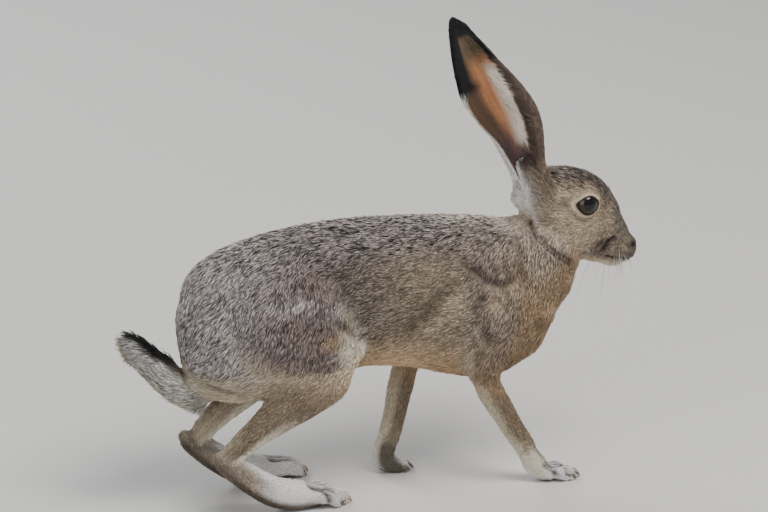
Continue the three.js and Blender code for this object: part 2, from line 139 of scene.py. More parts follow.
def closed_grid(grid):
    """A grid of rings as one closed surface: its first and last rings shrink to one point each."""
    rings, around = grid.shape[:2]
    points = np.concatenate([grid[:1, 0], grid[1:-1].reshape(-1, 3), grid[-1:, 0]])
    i, j = np.meshgrid(np.arange(rings - 3), np.arange(around), indexing="ij")
    at = lambda i, j: 1 + i * around + j % around
    quads = np.stack([at(i, j), at(i, j + 1), at(i + 1, j + 1), at(i + 1, j)], -1).reshape(-1, 4)
    j = np.arange(around)
    last = np.full(around, len(points) - 1)
    ends = np.concatenate([np.stack([0 * j, at(0, j + 1), at(0, j)], -1),
                           np.stack([last, at(rings - 3, j), at(rings - 3, j + 1)], -1)])
    return outwards(points, quads, ends)


def capped(rings):
    """Rings of points with one more at each end, shrunk to the middle of the ring beside it."""
    first, last = (np.repeat(rings[k].mean(0)[None, None], rings.shape[1], 1) for k in (0, -1))
    return np.concatenate([first, rings, last])


def outwards(points, quads, tris):
    """The same surface with its faces turned so that the volume it holds is positive."""
    soup = np.concatenate([quads[:, [0, 1, 2]], quads[:, [0, 2, 3]], tris])
    a, b, c = (points[soup[:, k]] for k in range(3))
    if dot(a, np.cross(b, c)).sum() < 0:
        return points, quads[:, ::-1], tris[:, ::-1]
    return points, quads, tris


def ellipsoid(centre, half, tilt=0.0, around=32, rings=22):
    """A ball stretched to three half sizes, turned about Y by tilt, and moved to its centre."""
    v = np.linspace(0, math.pi, rings)[:, None]
    u = np.linspace(0, 2 * math.pi, around, endpoint=False)[None]
    grid = np.stack([np.sin(v) * np.cos(u), np.sin(v) * np.sin(u), np.cos(v) + 0 * u], -1) * half
    x, z = grid[..., 0].copy(), grid[..., 2].copy()
    grid[..., 0] = x * math.cos(tilt) + z * math.sin(tilt)
    grid[..., 2] = -x * math.sin(tilt) + z * math.cos(tilt)
    return closed_grid(grid + centre)


def join(parts):
    """Several surfaces as one list of points and faces."""
    start = np.cumsum([0] + [len(p[0]) for p in parts])
    return (np.concatenate([p[0] for p in parts]),
            np.concatenate([p[1] + s for p, s in zip(parts, start)]),
            np.concatenate([p[2] + s for p, s in zip(parts, start)]))


def make_piece(name, surface, smooth=True):
    """A mesh object from points in millimetres and its faces, with its place in its mesh."""
    points, quads, tris = surface
    mesh = bpy.data.meshes.new(name)
    mesh.vertices.add(len(points))
    mesh.vertices.foreach_set("co", ((points + SHIFT) * MM).astype(np.float32).ravel())
    corners = np.concatenate([quads.ravel(), tris.ravel()]).astype(np.int32)
    counts = np.concatenate([np.full(len(quads), 4), np.full(len(tris), 3)])
    mesh.loops.add(len(corners))
    mesh.loops.foreach_set("vertex_index", corners)
    mesh.polygons.add(len(counts))
    mesh.polygons.foreach_set("loop_start", (np.cumsum(counts) - counts).astype(np.int32))
    mesh.polygons.foreach_set("use_smooth", np.full(len(counts), smooth))
    mesh.update(calc_edges=True)
    piece = bpy.data.objects.new(name, mesh)
    bpy.context.scene.collection.objects.link(piece)
    return piece


def paint(piece, name, colours):
    """Stores a linear colour on every point of the piece."""
    layer = piece.data.color_attributes.new(name, "FLOAT_COLOR", "POINT")
    full = np.concatenate([colours, np.ones((len(colours), 1))], 1)
    layer.data.foreach_set("color", full.astype(np.float32).ravel())


print("shape functions ready")

# %% [markdown]
# ## The animal's measures
# These rows are the same as the solid model's. The head is laid out along its own axis,
# which drops towards the nose: `t` runs along it and `h` stands above it.

# %% Head, neck and trunk
HEAD_ROOT, HEAD_DROP = np.array([150.0, 240.0]), 0.467
CD, SD = math.cos(HEAD_DROP), math.sin(HEAD_DROP)


def head_point(t, h, y=0.0):
    """The place of a point given along the head's axis, above it and to its side."""
    t, h, y = np.broadcast_arrays(np.asarray(t, float), h, y)
    return np.stack([HEAD_ROOT[0] + t * CD + h * SD, y, HEAD_ROOT[1] - t * SD + h * CD], -1)


def head_measures(p):
    """How far a point lies along the head's axis and above it."""
    dx, dz = p[..., 0] - HEAD_ROOT[0], p[..., 2] - HEAD_ROOT[1]
    return dx * CD - dz * SD, dx * SD + dz * CD


HEAD_ROWS = [
    [-26, 12.5, 19, 31, -4], [-12, 14.5, 24, 42, -13], [4, 16, 26.5, 50, -20],
    [18, 16, 27.5, 53.5, -23.5], [32, 13.5, 26.5, 51.5, -25], [46, 9.5, 23, 44.5, -25.5],
    [58, 5.5, 19.5, 35.5, -24.5], [70, 3, 17, 28, -21.5], [81, 2, 15, 22, -17],
    [91.5, 3.5, 11.5, 16.5, -9.5],
]
HEAD = [[*head_point(t, mid), wide, top - mid, mid - low] for t, mid, wide, top, low in HEAD_ROWS]
HEAD_SWELLS = [
    [30, -5, 14.5, 25, 10, 18, 0], [81, 2, 7.5, 14, 8.5, 10.5, 0], [77, -12.5, 4.5, 14, 7, 7, -0.2],
]
NECK = [
    [76, 0, 180, 42, 62, 66], [104, 0, 189, 42, 58, 67], [130, 0, 203, 36, 47, 61],
    [150, 0, 216, 29, 36, 52], [164, 0, 226, 24, 28, 38],
]
TRUNK_ROWS = [
    [-181, 199, 110, 30], [-169, 219, 97, 43], [-150, 235, 92, 51], [-125, 246.5, 95, 55],
    [-95, 254.5, 104, 55], [-60, 259, 112, 53], [-25, 260, 116, 52], [10, 258.5, 113, 51],
    [45, 256, 106, 50], [75, 252.5, 97, 48], [100, 246, 92, 44], [123, 232, 95, 38],
    [143, 207, 107, 30],
]
WIDEST_SHARE = 0.46
TRUNK = [[x, 0, low + (top - low) * WIDEST_SHARE, wide, (top - low) * (1 - WIDEST_SHARE),
          (top - low) * WIDEST_SHARE] for x, top, low, wide in TRUNK_ROWS]
TAIL = [
    [-166, 0, 105, 16, 20, 22], [-184, 0, 113, 17, 21, 20], [-200, 0, 126, 16.5, 20, 18.5],
    [-215, 0, 142, 15, 18.5, 17], [-229, 0, 158, 12, 14.5, 14.5], [-239, 0, 170, 7.5, 9.5, 9.5],
]
EAR_BUTT = [
    [150, 15, 250, 11, 16.5, 15], [143, 16.5, 264, 12, 16, 17], [137, 17, 277, 12, 13.5, 18],
    [132, 15.5, 288, 10, 12, 19], [127.5, 14, 297, 7, 11, 18],
]
print("head of", len(HEAD_ROWS), "rows, trunk of", len(TRUNK_ROWS))

# %% Legs and feet
THIGH = [
    [-150, 32, 203, 15, 21, 22], [-134, 37, 194, 25, 45, 42], [-110, 40, 181, 28, 57, 52],
    [-82, 42, 165, 26, 48, 44], [-58, 43, 151, 21, 33, 31], [-45, 44, 144, 15, 22, 21],
]
SHANK = [
    [-50, 43, 144, 12, 16, 16], [-66, 43, 130, 18, 30, 30], [-90, 41, 112, 16.5, 28, 27],
    [-115, 39, 92, 12.5, 20, 21], [-136, 37.5, 75, 10, 15, 16], [-151, 36.5, 62.5, 9, 13, 13],
    [-160, 36, 56, 8, 11, 9.5],
]
HIND_FOOT = [
    [-167, 36, 60, 6.5, 7, 7], [-161, 36, 53, 8.5, 12, 10.5], [-149, 36, 42.5, 10, 16, 12],
    [-134, 35, 30, 11.5, 16.5, 12.5], [-116, 34, 19, 12.5, 16.5, 14.5],
    [-98, 33, 13.5, 14, 16, 15], [-82, 32, 12, 15, 13.5, 13], [-72, 31, 10, 13, 11, 11],
]
HIND_TOES = [[-9, -11, 17, 6], [-3.2, -4, 23, 6.6], [3.4, 4, 22.5, 6.6], [9.4, 12, 12, 6]]
FORE_TOES = [[-7.6, -9, 6.5, 4.8], [-2.6, -3.4, 11.5, 5.4], [2.8, 3.4, 11, 5.4], [7.8, 9.4, 5.5, 5]]
HIND_TOE_ROOT, FORE_TOE_ROOT, TIP_RISE = (-82, 31.5, 12), (0, 0, 8), 0.88
HOCK, KNEE = (-162, 36), (-50, 43)
STILL = {"x": 0}
PLACES = {
    "thigh": {RIGHT: STILL, LEFT: {"x": -9}},
    "shank": {RIGHT: STILL, LEFT: {"x": -10, "turn": 0.07, "about": KNEE}},
    "hind_foot": {RIGHT: {"turn": -0.02, "about": HOCK},
                  LEFT: {"x": -14, "y": -8, "turn": 0.25, "about": HOCK}},
    "forefoot": {RIGHT: {"x": 146, "y": 33}, LEFT: {"x": 8, "y": 32.5}},
}
TOED_FEET = {"hind": ("hind_foot", HIND_TOES, HIND_TOE_ROOT),
             "fore": ("forefoot", FORE_TOES, FORE_TOE_ROOT)}
SHOULDER = {
    RIGHT: [[75, 26, 225, 9, 16, 22], [83, 31, 208, 15, 30, 33], [91, 33.5, 186, 17, 40, 31],
            [93, 34, 160, 17, 36, 31], [89, 34, 134, 16, 26, 27], [83, 34, 112, 14.5, 19, 20]],
    LEFT: [[80, 26, 226, 9, 16, 22], [81, 31, 208, 15, 32, 30], [78, 33.5, 186, 17, 42, 31],
           [70, 34, 160, 17, 37, 30], [57, 34, 134, 16, 25, 25], [43, 34.5, 112, 14.5, 17, 19]],
}
FOREARM = {
    RIGHT: [[78, 34, 124, 11, 14, 14], [86, 33.5, 102, 12.5, 15.5, 16.5],
            [97, 32.5, 80, 11.2, 13.8, 14], [109, 32, 58, 10.2, 12.5, 12.3],
            [119, 31.5, 42, 10, 11.5, 11.5], [125, 31, 31, 9.5, 11, 11]],
    LEFT: [[42, 34.5, 124, 11, 13, 14], [33, 34.5, 102, 12.5, 15, 16.5],
           [26, 33.5, 76, 11.4, 13.2, 14.5], [21, 33, 54, 10.7, 12.3, 13],
           [17, 32.5, 40, 10.2, 12, 12.3], [14, 32, 31, 10, 12, 12]],
}
FOREFOOT = {
    RIGHT: [[124, 31, 35, 9.5, 10.5, 10.5], [128, 31, 26, 10, 10, 11],
            [135, 31.5, 16, 11, 10.5, 13.5], [146, 32.5, 8.5, 12.5, 8, 11.8]],
    LEFT: [[15, 32, 35, 10, 11.5, 11.5], [11, 32, 25, 10.5, 12, 11.5],
           [11, 32, 13.4, 11.5, 11.5, 14], [17, 32.5, 7, 12.5, 9, 11.3]],
}


def placed(rows, x=0, y=0, turn=0, about=(0, 0)):
    """Rows turned about an upright line through a point, then moved."""
    rows = np.array(rows, float)
    u, v = rows[:, 0] - about[0], rows[:, 1] - about[1]
    rows[:, 0] = about[0] + u * math.cos(turn) - v * math.sin(turn) + x
    rows[:, 1] = about[1] + u * math.sin(turn) + v * math.cos(turn) + y
    return rows


def toe_path(root, toe):
    """A toe starts inside the foot, arches at its knuckle and comes down to the floor."""
    start, end, reach, thick = toe
    at = lambda share, z: [root[0] + 4 + (reach + 8) * share, root[1] + start + (end - start) * share, z]
    knuckle = root[2] + 3
    return [[*at(-0.25, root[2] - 1), thick, thick, thick],
            [*at(0.2, knuckle), thick, thick, thick + 4],
            [*at(0.62, knuckle - 3.5), thick, thick, thick + 3],
            [*at(1, thick * TIP_RISE), thick * 0.72, thick * 0.7, thick]]


print("four legs,", 2 * len(HIND_TOES) + 2 * len(FORE_TOES), "toes")

# %% [markdown]
# ## The coat's colours
# Each hair of a jackrabbit is banded, so the coat looks grizzled: dark at its root, cream
# below the tip and black or grey at the tip. A coat is given here as its mean colour and
# how far single tufts stray from it towards dark and light. The tones are those that the
# eye picks in daylight, made linear because light is added up in linear numbers. A few
# coats also hold painted shade or painted highlight, as noted beside them.

# %% Named coats
COATS = {
    # mean red, green and blue, then the spread of single tufts
    # The flank is darker than the back partly by its own ticking and partly with painted shade, the side
    # lying in shade under light from above.
    "back": (137, 127, 123, 1.2), "rump": (169, 160, 158, 0.9), "flank": (82, 76, 79, 0.95),
    "flank_low": (146, 132, 112, 0.5), "belly": (212, 182, 146, 0.3),
    "leg_inner": (140, 126, 104, 0.35), "withers": (134, 123, 113, 0.98),
    "shoulder": (148, 133, 120, 0.75), "chest": (166, 142, 114, 0.35), "throat": (162, 139, 112, 0.32),
    "neck": (178, 165, 149, 0.7), "nape": (232, 222, 206, 0.3), "thigh": (133, 118, 112, 0.86),
    "thigh_low": (219, 197, 167, 0.5), "knee": (238, 228, 208, 0.2), "shank": (133, 117, 97, 0.5),
    "shank_low": (172, 158, 138, 0.25), "buttock": (200, 186, 160, 0.3), "foot": (252, 250, 248, 0.08),
    "foot_side": (164, 151, 135, 0.4), "sole": (92, 80, 68, 0.3), "heel": (132, 121, 106, 0.4),
    "foreleg": (141, 122, 100, 0.45), "foreleg_back": (206, 194, 170, 0.2),
    # The inner side of the forepaw is darker partly by its own colour and partly with painted shade, as
    # that side lies in shade.
    "forefoot": (192, 180, 158, 0.25), "paw_inner": (108, 100, 87, 0.3), "tail_top": (34, 32, 32, 0.15),
    "tail_side": (184, 181, 176, 0.55), "tail_under": (176, 168, 152, 0.45),
    "forehead": (102, 92, 85, 0.9), "cheek": (190, 171, 145, 0.5), "muzzle": (118, 108, 96, 0.9),
    "pad": (162, 148, 127, 0.95), "chin": (236, 222, 198, 0.2), "paw": (232, 222, 202, 0.2),
    "cream": (200, 184, 158, 0.15), "buff": (176, 142, 104, 0.2), "dusk": (72, 61, 52, 0.3),
    # The shoulder's pale patch is a painted highlight; the thigh's pale top is partly pale-tipped hair and
    # partly painted highlight.
    "eye_ring": (238, 217, 182, 0.12), "point": (204, 183, 155, 0.4), "frost_and_highlight": (204, 196, 192, 0.6),
    # The mouth's bare skin is dark partly by its own colour and partly with painted shade in the grooves.
    "lip": (48, 38, 33, 0.1), "ear_band": (92, 78, 67, 0.4), "ear_black": (26, 25, 27, 0.2),
    "ear_white": (232, 228, 223, 0.2), "ear_base": (126, 111, 94, 0.45),
}


def linear(srgb):
    """The sRGB curve undone: a small straight part near black, then a power of 2.4."""
    s = np.asarray(srgb, float) / 255
    return np.where(s <= 0.04045, s / 12.92, ((s + 0.055) / 1.055) ** 2.4)


COAT = {name: np.array([*linear(c[:3]), c[3]]) for name, c in COATS.items()}


def lattice_noise(p, size, seed):
    """Random numbers on a lattice of the given spacing, blended smoothly between its points."""
    table = np.random.default_rng(seed).random((32, 32, 32))
    q = p / size
    i = np.floor(q).astype(int)
    f = q - i
    f = f * f * (3 - 2 * f)
    total = 0
    for corner in np.ndindex(2, 2, 2):
        k = (i + corner) % 32
        weight = np.prod(np.where(np.array(corner) == 1, f, 1 - f), -1)
        total = total + weight * table[k[..., 0], k[..., 1], k[..., 2]]
    return total


print(len(COAT), "coats named")

# %% [markdown]
# ## Regions of the body
# Each region knows its path, how thick the coat is on it, which way the hair lies, and
# which coats it wears in front or on top, outside, behind or below, and inside. Where two
# regions meet, both the lie and the colour blend, because a real coat has no seams.

# %% Regions
DEPTHS = {"trunk": (4.2, 3.8), "neck": (4, 3), "head": (2.8, 1.2), "thigh": (4, 3), "shank": (3, 2),
          "hind_foot": (1.8, 1.4), "shoulder": (3.6, 2.8), "forearm": (2.4, 1.8), "forefoot": (1.7, 1.4),
          "tail": (7, 4), "ear_butt": (2, 1.6)}
BACKWARDS, ONWARDS = -1.0, 1.0
WEARS = {
    # share of the path, then the coats on top, outside, below and inside
    "trunk": [
        (0, "rump", "rump", "buttock", "rump"), (0.14, "rump", "rump", "buttock", "rump"),
        (0.36, "back", "flank", "belly", "flank"), (0.62, "back", "flank_low", "belly", "flank_low"),
        (0.82, "withers", "shoulder", "chest", "shoulder"), (1, "neck", "chest", "chest", "chest"),
    ],
    "neck": [
        (0, "withers", "shoulder", "chest", "shoulder"), (0.5, "neck", "neck", "throat", "neck"),
        (1, "neck", "neck", "throat", "neck"),
    ],
    "head": [
        (0, "neck", "neck", "throat", "neck"), (0.3, "forehead", "cheek", "throat", "cheek"),
        (0.5, "forehead", "cheek", "throat", "cheek"), (0.72, "muzzle", "muzzle", "chin", "muzzle"),
        (1, "muzzle", "muzzle", "chin", "muzzle"),
    ],
    "thigh": [
        (0, "rump", "rump", "rump", "belly"), (0.4, "thigh", "thigh", "buttock", "belly"),
        (0.8, "flank_low", "thigh", "thigh_low", "belly"),
        (1, "knee", "thigh_low", "thigh_low", "belly"),
    ],
    "shank": [
        (0, "thigh_low", "thigh_low", "thigh_low", "belly"),
        (0.35, "shank", "shank", "shank", "shank_low"), (0.6, "knee", "shank", "shank", "shank_low"),
        (0.8, "knee", "shank", "shank_low", "cream"), (1, "knee", "shank_low", "shank_low", "cream"),
    ],
    "hind_foot": [
        (0, "shank_low", "shank_low", "heel", "shank_low"), (0.1, "shank_low", "heel", "sole", "heel"),
        (0.4, "foot", "foot_side", "sole", "foot_side"), (0.6, "foot", "foot", "sole", "foot"),
        (1, "foot", "foot", "foot_side", "foot"),
    ],
    "shoulder": [
        (0, "withers", "shoulder", "shoulder", "chest"),
        (0.5, "chest", "shoulder", "shoulder", "chest"),
        (1, "foreleg", "foreleg", "foreleg_back", "leg_inner"),
    ],
    "forearm": [
        (0, "foreleg", "foreleg", "foreleg_back", "leg_inner"),
        (0.7, "foreleg", "foreleg", "foreleg_back", "leg_inner"),
        (1, "foreleg", "forefoot", "paw", "cream"),
    ],
    "forefoot": [
        (0, "foreleg", "forefoot", "paw", "paw_inner"), (0.35, "foreleg", "paw", "paw", "paw_inner"),
        (0.75, "forefoot", "paw", "foot", "paw_inner"), (1, "foot", "foot", "sole", "paw_inner"),
    ],
    "tail": [
        (0, "tail_under", "tail_side", "tail_top", "tail_side"),
        (1, "tail_under", "tail_side", "tail_top", "tail_side"),
    ],
    "ear_butt": [
        (0, "ear_white", "ear_base", "forehead", "ear_white"),
        (0.3, "ear_white", "ear_base", "ear_base", "ear_white"),
        (1, "ear_white", "ear_band", "ear_band", "ear_white"),
    ],
}
# The hair's direction where it doesn't simply follow the path
LIES = {"thigh": [-0.6, 0, -0.85], "shoulder": [-0.55, 0, -0.8], "neck": [-0.8, 0, -0.6]}
FLOW = {"trunk": BACKWARDS, "neck": BACKWARDS, "head": BACKWARDS}
# How far down and how far up the section the coats below and on top begin and are whole. The
# tail's path runs backwards, so its section is upside down and its stripe counts as below.
UNDER_FROM = {"tail": (0.48, 0.76), "trunk": (0.18, 0.85), "hind_foot": (0.1, 0.6),
              "neck": (0.0, 0.55), "forearm": (0.15, 0.65)}
TOP_FROM = {"ear_butt": (0.68, 0.95), "shank": (0.1, 0.6)}
UNDER_USUAL, TOP_USUAL = (0.45, 0.92), (0.45, 0.95)

regions = []


def add_region(kind, stations, side=0, **shape):
    """Keeps a region's path, with its name, side and shape."""
    regions.append({"kind": kind, "rows": np.array(stations, float), "side": side, "shape": shape})


add_region("trunk", TRUNK, caps=(12, 17), square=2.15, around=72, steps=90)
add_region("neck", NECK, caps=(12, 8), around=60, steps=48)
add_region("head", HEAD, caps=(12, 7), square=2.1, around=64, steps=64)
add_region("tail", TAIL, caps=(10, 8))
for side in (RIGHT, LEFT):
    add_region("thigh", placed(THIGH, **PLACES["thigh"][side]), side, caps=(16, 12), around=48)
    add_region("shank", placed(SHANK, **PLACES["shank"][side]), side, caps=(12, 5))
    add_region("hind_foot", placed(HIND_FOOT, **PLACES["hind_foot"][side]), side, caps=(7, 9), steps=60)
    add_region("shoulder", SHOULDER[side], side, caps=(12, 10))
    add_region("forearm", FOREARM[side], side, caps=(8, 4))
    add_region("forefoot", FOREFOOT[side], side, caps=(6, 9))
    add_region("ear_butt", EAR_BUTT, side, caps=(8, 7), square=2)
print(len(regions), "regions")

# %% [markdown]
# ## One skin
# All these bodies overlap. A voxel remesh fuses closed shapes that overlap into one skin,
# as a sculptor merges clay, and a few rounds of smoothing soften the creases where the
# legs leave the trunk. The muzzle and the lids need finer faces, so they are divided
# again before the mouth, nostrils and eye openings are pressed in.

# %% Fuse the flesh
EYE_RADIUS = 11.4
LID_RADIUS = EYE_RADIUS + 1.6
EYE_T, EYE_H, EYE_Y = 22, 30, 20.5
VOXEL = 2.2


def eye_centre(side):
    """The middle of one eyeball."""
    return head_point(EYE_T, EYE_H, EYE_Y * side)


def flesh():
    """Every body less the depth of its coat, with the swells of the head and the toes."""
    parts = [loft(r["rows"], depth=DEPTHS[r["kind"]], side=r["side"] or LEFT, **r["shape"])
             for r in regions]
    for side in (RIGHT, LEFT):
        for t, h, y, long, wide, high, tilt in HEAD_SWELLS:
            half = np.array([long, wide, high]) - (3 if t < 60 else 1.5)
            parts.append(ellipsoid(head_point(t, h, y * side), half, HEAD_DROP + tilt))
        parts.append(ellipsoid(eye_centre(side), [LID_RADIUS] * 3))
        for foot, toes, root in TOED_FEET.values():
            for toe in toes:
                path = placed(toe_path(root, toe), **PLACES[foot][side])
                parts.append(loft(path, (4, 4.5), depth=(1, 1), side=side, around=20, steps=20, domes=5))
    return join(parts)


clay = make_piece("clay", flesh())
fuse = clay.modifiers.new("fuse", "REMESH")
fuse.mode, fuse.voxel_size = "VOXEL", VOXEL * MM
fused = bpy.data.meshes.new_from_object(clay.evaluated_get(bpy.context.evaluated_depsgraph_get()))
bpy.data.objects.remove(clay)
print("fused skin:", len(fused.vertices), "points")

# %% Finer faces on the muzzle and round the eyes
DETAIL_FROM, DETAIL_RADIUS = 62, 20


def mesh_points(mesh):
    """A mesh's points in millimetres, before the shift to the middle of the box."""
    flat = np.empty(len(mesh.vertices) * 3, np.float32)
    mesh.vertices.foreach_get("co", flat)
    return flat.reshape(-1, 3).astype(float) / MM - SHIFT


def detail_zone(p):
    """True on the muzzle and near an eye's centre."""
    t, _ = head_measures(p)
    eye = np.min([np.linalg.norm(p - eye_centre(side), axis=-1) for side in (RIGHT, LEFT)], 0)
    return (t > DETAIL_FROM) | ((eye < DETAIL_RADIUS) & (t > 0))


near = detail_zone(mesh_points(fused))
work = bmesh.new()
work.from_mesh(fused)
work.verts.ensure_lookup_table()
fine = [f for f in work.faces if all(near[v.index] for v in f.verts)]
edges = list({e for f in fine for e in f.edges})
bmesh.ops.subdivide_edges(work, edges=edges, cuts=2, use_grid_fill=True)
bmesh.ops.triangulate(work, faces=[f for f in work.faces if len(f.verts) > 4])
work.to_mesh(fused)
work.free()
print("with fine muzzle and lids:", len(fused.vertices), "points")

# %% Smooth the skin
SKIN_ROUNDS, TORSO_ROUNDS = 9, 44


def mesh_arrays(mesh):
    """Its points, its edges, and its faces as triangles."""
    mesh.calc_loop_triangles()
    edge = np.empty(len(mesh.edges) * 2, np.int32)
    mesh.edges.foreach_get("vertices", edge)
    tri = np.empty(len(mesh.loop_triangles) * 3, np.int32)
    mesh.loop_triangles.foreach_get("vertices", tri)
    return mesh_points(mesh), edge.reshape(-1, 2), tri.reshape(-1, 3)


def relax(values, edges, rounds, strength):
    """Moves each point part of the way to the mean of its neighbours, several times over."""
    a, b = np.concatenate([edges, edges[:, ::-1]]).T
    count = np.bincount(a, minlength=len(values))[:, None]
    values = values.copy()
    for _ in range(rounds):
        sums = [np.bincount(a, values[b, k], len(values)) for k in range(values.shape[1])]
        values += (np.stack(sums, 1) / count - values) * strength
    return values


def normals_of(points, tris):
    """Each point's normal: the sum of the areas of its faces, made one long."""
    a, b, c = (points[tris[:, k]] for k in range(3))
    face = np.cross(b - a, c - a)
    total = 0
    for k in range(3):
        sums = [np.bincount(tris[:, k], face[:, m], len(points)) for m in range(3)]
        total = total + np.stack(sums, 1)
    return unit(total)


skin_points, skin_edges, skin_tris = mesh_arrays(fused)
low = smooth_step(34, 60, skin_points[:, 2])
head_t, _ = head_measures(skin_points)
calm = np.where(head_t > 20, 0.35, 0.15 + 0.4 * low)[:, None]
skin_points = relax(skin_points, skin_edges, SKIN_ROUNDS, calm)
x, z = skin_points[:, 0], skin_points[:, 2]
torso = smooth_step(78, 102, z) * (1 - smooth_step(174, 184, x))
torso *= np.maximum(smooth_step(-176, -160, x), smooth_step(138, 150, z))
torso *= 1 - smooth_step(100, 120, x) * smooth_step(208, 226, z)
skin_points = relax(skin_points, skin_edges, TORSO_ROUNDS, 0.5 * torso[:, None])
print("smoothed over", len(skin_edges), "edges")

# %% [markdown]
# ## Mouth, nostrils and eye openings
# A rabbit's upper lip is split, the split runs up to the nose, and the nostrils are two
# slanting slits that open at the sides. Each is a soft groove: the skin moves inwards by
# a depth that fades with the distance from the line. Round the eye, the skin follows the
# eyeball as a lid, and drops behind it inside an almond opening.

# %% Press in the face
MOUTH_AT, MOUTH_RISE = (88, -5), math.tan(0.2)
NOSTRIL = (90.5, 9.5, 8)
MOUTH_DEPTH, CLEFT_DEPTH, NOSTRIL_DEPTH = 1.5, 1.3, 3.2
OPENING = np.array([10.2, 8.9])
EYE_SLANT, EYE_SHIFT = 0.36, 0.6
CORNER_DRAWN, CORNER_PINCH = 0.93, 0.3
SOCKET_SUNK, LID_RAISED = 2.6, 2.4
SKIN_FLOOR = 0.3


def bell(distance, width):
    """1 on the line, fading as a bell curve of the given width."""
    return np.exp(-(distance / width) ** 2)


def mouth_line(p):
    """How strongly a point lies on the mouth line, on the cleft of the lip or in a nostril."""
    t, h = head_measures(p)
    line = MOUTH_AT[1] + (t - MOUTH_AT[0]) * MOUTH_RISE
    mouth = bell(h - line, 1.1) * smooth_step(64, 70, t)
    cleft = bell(p[:, 1], 0.85) * smooth_step(90, 94, t)
    cleft = cleft * smooth_step(-4.5, -2.5, h) * (1 - smooth_step(9, 11, h))
    y = abs(p[:, 1]) - NOSTRIL[2]
    u, v = (t - NOSTRIL[0]), (h - NOSTRIL[1])
    slant = u * 0.55 + v * 0.83
    thin = u * 0.83 - v * 0.55 + y * 0.5
    nostril = np.exp(-(slant / 4) ** 2 - (thin / 1.6) ** 2 - (y / 3.6) ** 2)
    return mouth, cleft, nostril


def eye_measure(p, side):
    """Distance from the eye's centre, how far out in the almond opening the point is seen, 1
    being its edge, and the centre. The almond's front and back corners are drawn out a little."""
    centre = eye_centre(side)
    t, h = head_measures(p)
    t, h = t - EYE_T - EYE_SHIFT, h - EYE_H
    u = (t * math.cos(EYE_SLANT) + h * math.sin(EYE_SLANT)) / OPENING[0]
    v = (h * math.cos(EYE_SLANT) - t * math.sin(EYE_SLANT)) / OPENING[1]
    pinch = 1 + CORNER_PINCH * u * u
    almond = np.sqrt((u * CORNER_DRAWN) ** 2 + (v * pinch) ** 2)
    outside = (p[:, 1] - EYE_Y * side) * side
    return np.linalg.norm(p - centre, axis=-1), np.where(outside > 1, almond, 9), centre


# Folds of the skin: each sinks the skin along a line, and its hair is darkened with painted shade, standing
# for the shade that falls into the crease.
FOLDS = [
    # points along the fold on the left side, its width, its depth and how strongly painted shade darkens
    # its hair
    ([(62, 41, 220), (74, 43, 210), (84, 48, 200), (96, 49, 195), (105, 48, 198)], 4.5, 4.2, 0.9),
    ([(43, 49, 198), (34, 50, 186), (22, 50, 171), (10, 50, 163)], 6.0, 2.8, 0.68),
    ([(77, 48, 184), (70, 50, 175), (74, 50, 163), (84, 48, 142)], 5.0, 2.2, 0.6),
    ([(-76, 65, 191), (-60, 63, 181), (-43, 57, 165), (-24, 48, 152)], 4.0, 3.0, 0.62),
    ([(-190, 16, 132), (-175, 25, 123), (-156, 35, 117), (-134, 37, 111)], 3.5, 2.6, 0.75),
    ([(149, 0, 158), (145, 26, 156)], 10.0, -3.0, 0.0),
    ([(177, 0, 188), (171, 20, 192)], 10.0, 3.0, 0.0),
]
FACE_FOLDS = [
    # the same, with points along the head and above it
    ([(65, 9), (61.5, 4), (61, -4)], 2.0, 2.4, 0.8),
    ([(57, 2), (53, -3)], 1.7, 0.8, 0.5),
    ([(-15, -6), (-12, -12), (-7, -16), (4, -20), (18, -24), (34, -26)], 1.6, 2.8, 0.85),
]
TOE_GAPS = {
    # the toes' root, the gaps' places across the foot, their reach along it and their height
    "hind_foot": (HIND_TOE_ROOT, (-6.3, 0.1, 6.9), (0, 22), 20),
    "forefoot": (FORE_TOE_ROOT, (-5, 0.1, 5.2), (-2, 14), 12),
}
TOE_LINES = {
    # clefts on the outer side, where each toe stands clear of the one behind it; the skin sinks there and
    # its hair gets painted shade
    "hind_foot": [[(-80, 40, 22), (-74, 42, 20), (-69, 45, 17), (-67, 46, 13), (-65.5, 46, 7)]],
    "forefoot": [[(-5, 9, 17), (-3, 9.6, 15.7), (0, 10.5, 13.5), (3, 12.5, 7)],
                 [(12, 3, 14), (13.5, 8, 12.5), (15, 12, 7)]],
}
# Widths of the gaps and the clefts, how far the skin sinks in them, and how strongly painted shade darkens
# the hair there.
GAP_WIDTH, CLEFT_WIDTH, GAP_DEPTH, GAP_SHADE = 2.0, 2.6, 3.6, 0.92


def line_bell(q, line, width):
    """A bell of the distance from a point to the nearest piece of a bent line."""
    line = np.array(line, float)
    nearest = np.full(len(q), np.inf)
    for a, b in zip(line[:-1], line[1:]):
        share = np.clip((q - a) @ (b - a) / ((b - a) @ (b - a)), 0, 1)
        nearest = np.minimum(nearest, np.linalg.norm(q - a - share[:, None] * (b - a), axis=1))
    return bell(nearest, width)


def toe_gap_strength(p):
    """Where a point lies between two toes: bells about upright strips that run forwards, and
    about the clefts on the outer side."""
    best = np.zeros(len(p))
    for foot, (root, gaps, reach, top) in TOE_GAPS.items():
        for side in (RIGHT, LEFT):
            place = PLACES[foot][side]
            here = (p[:, 1] * side > 0) * (p[:, 2] < top + 8)
            for gap in gaps:
                ends = placed([[root[0] + x, root[1] + gap * (1 + 0.01 * x), 0] for x in reach], **place)
                best = np.maximum(best, line_bell(p * [1, side, 0], ends, GAP_WIDTH) * here)
            for line in TOE_LINES[foot]:
                best = np.maximum(best, line_bell(p * [1, side, 1], placed(line, **place), CLEFT_WIDTH))
    return best


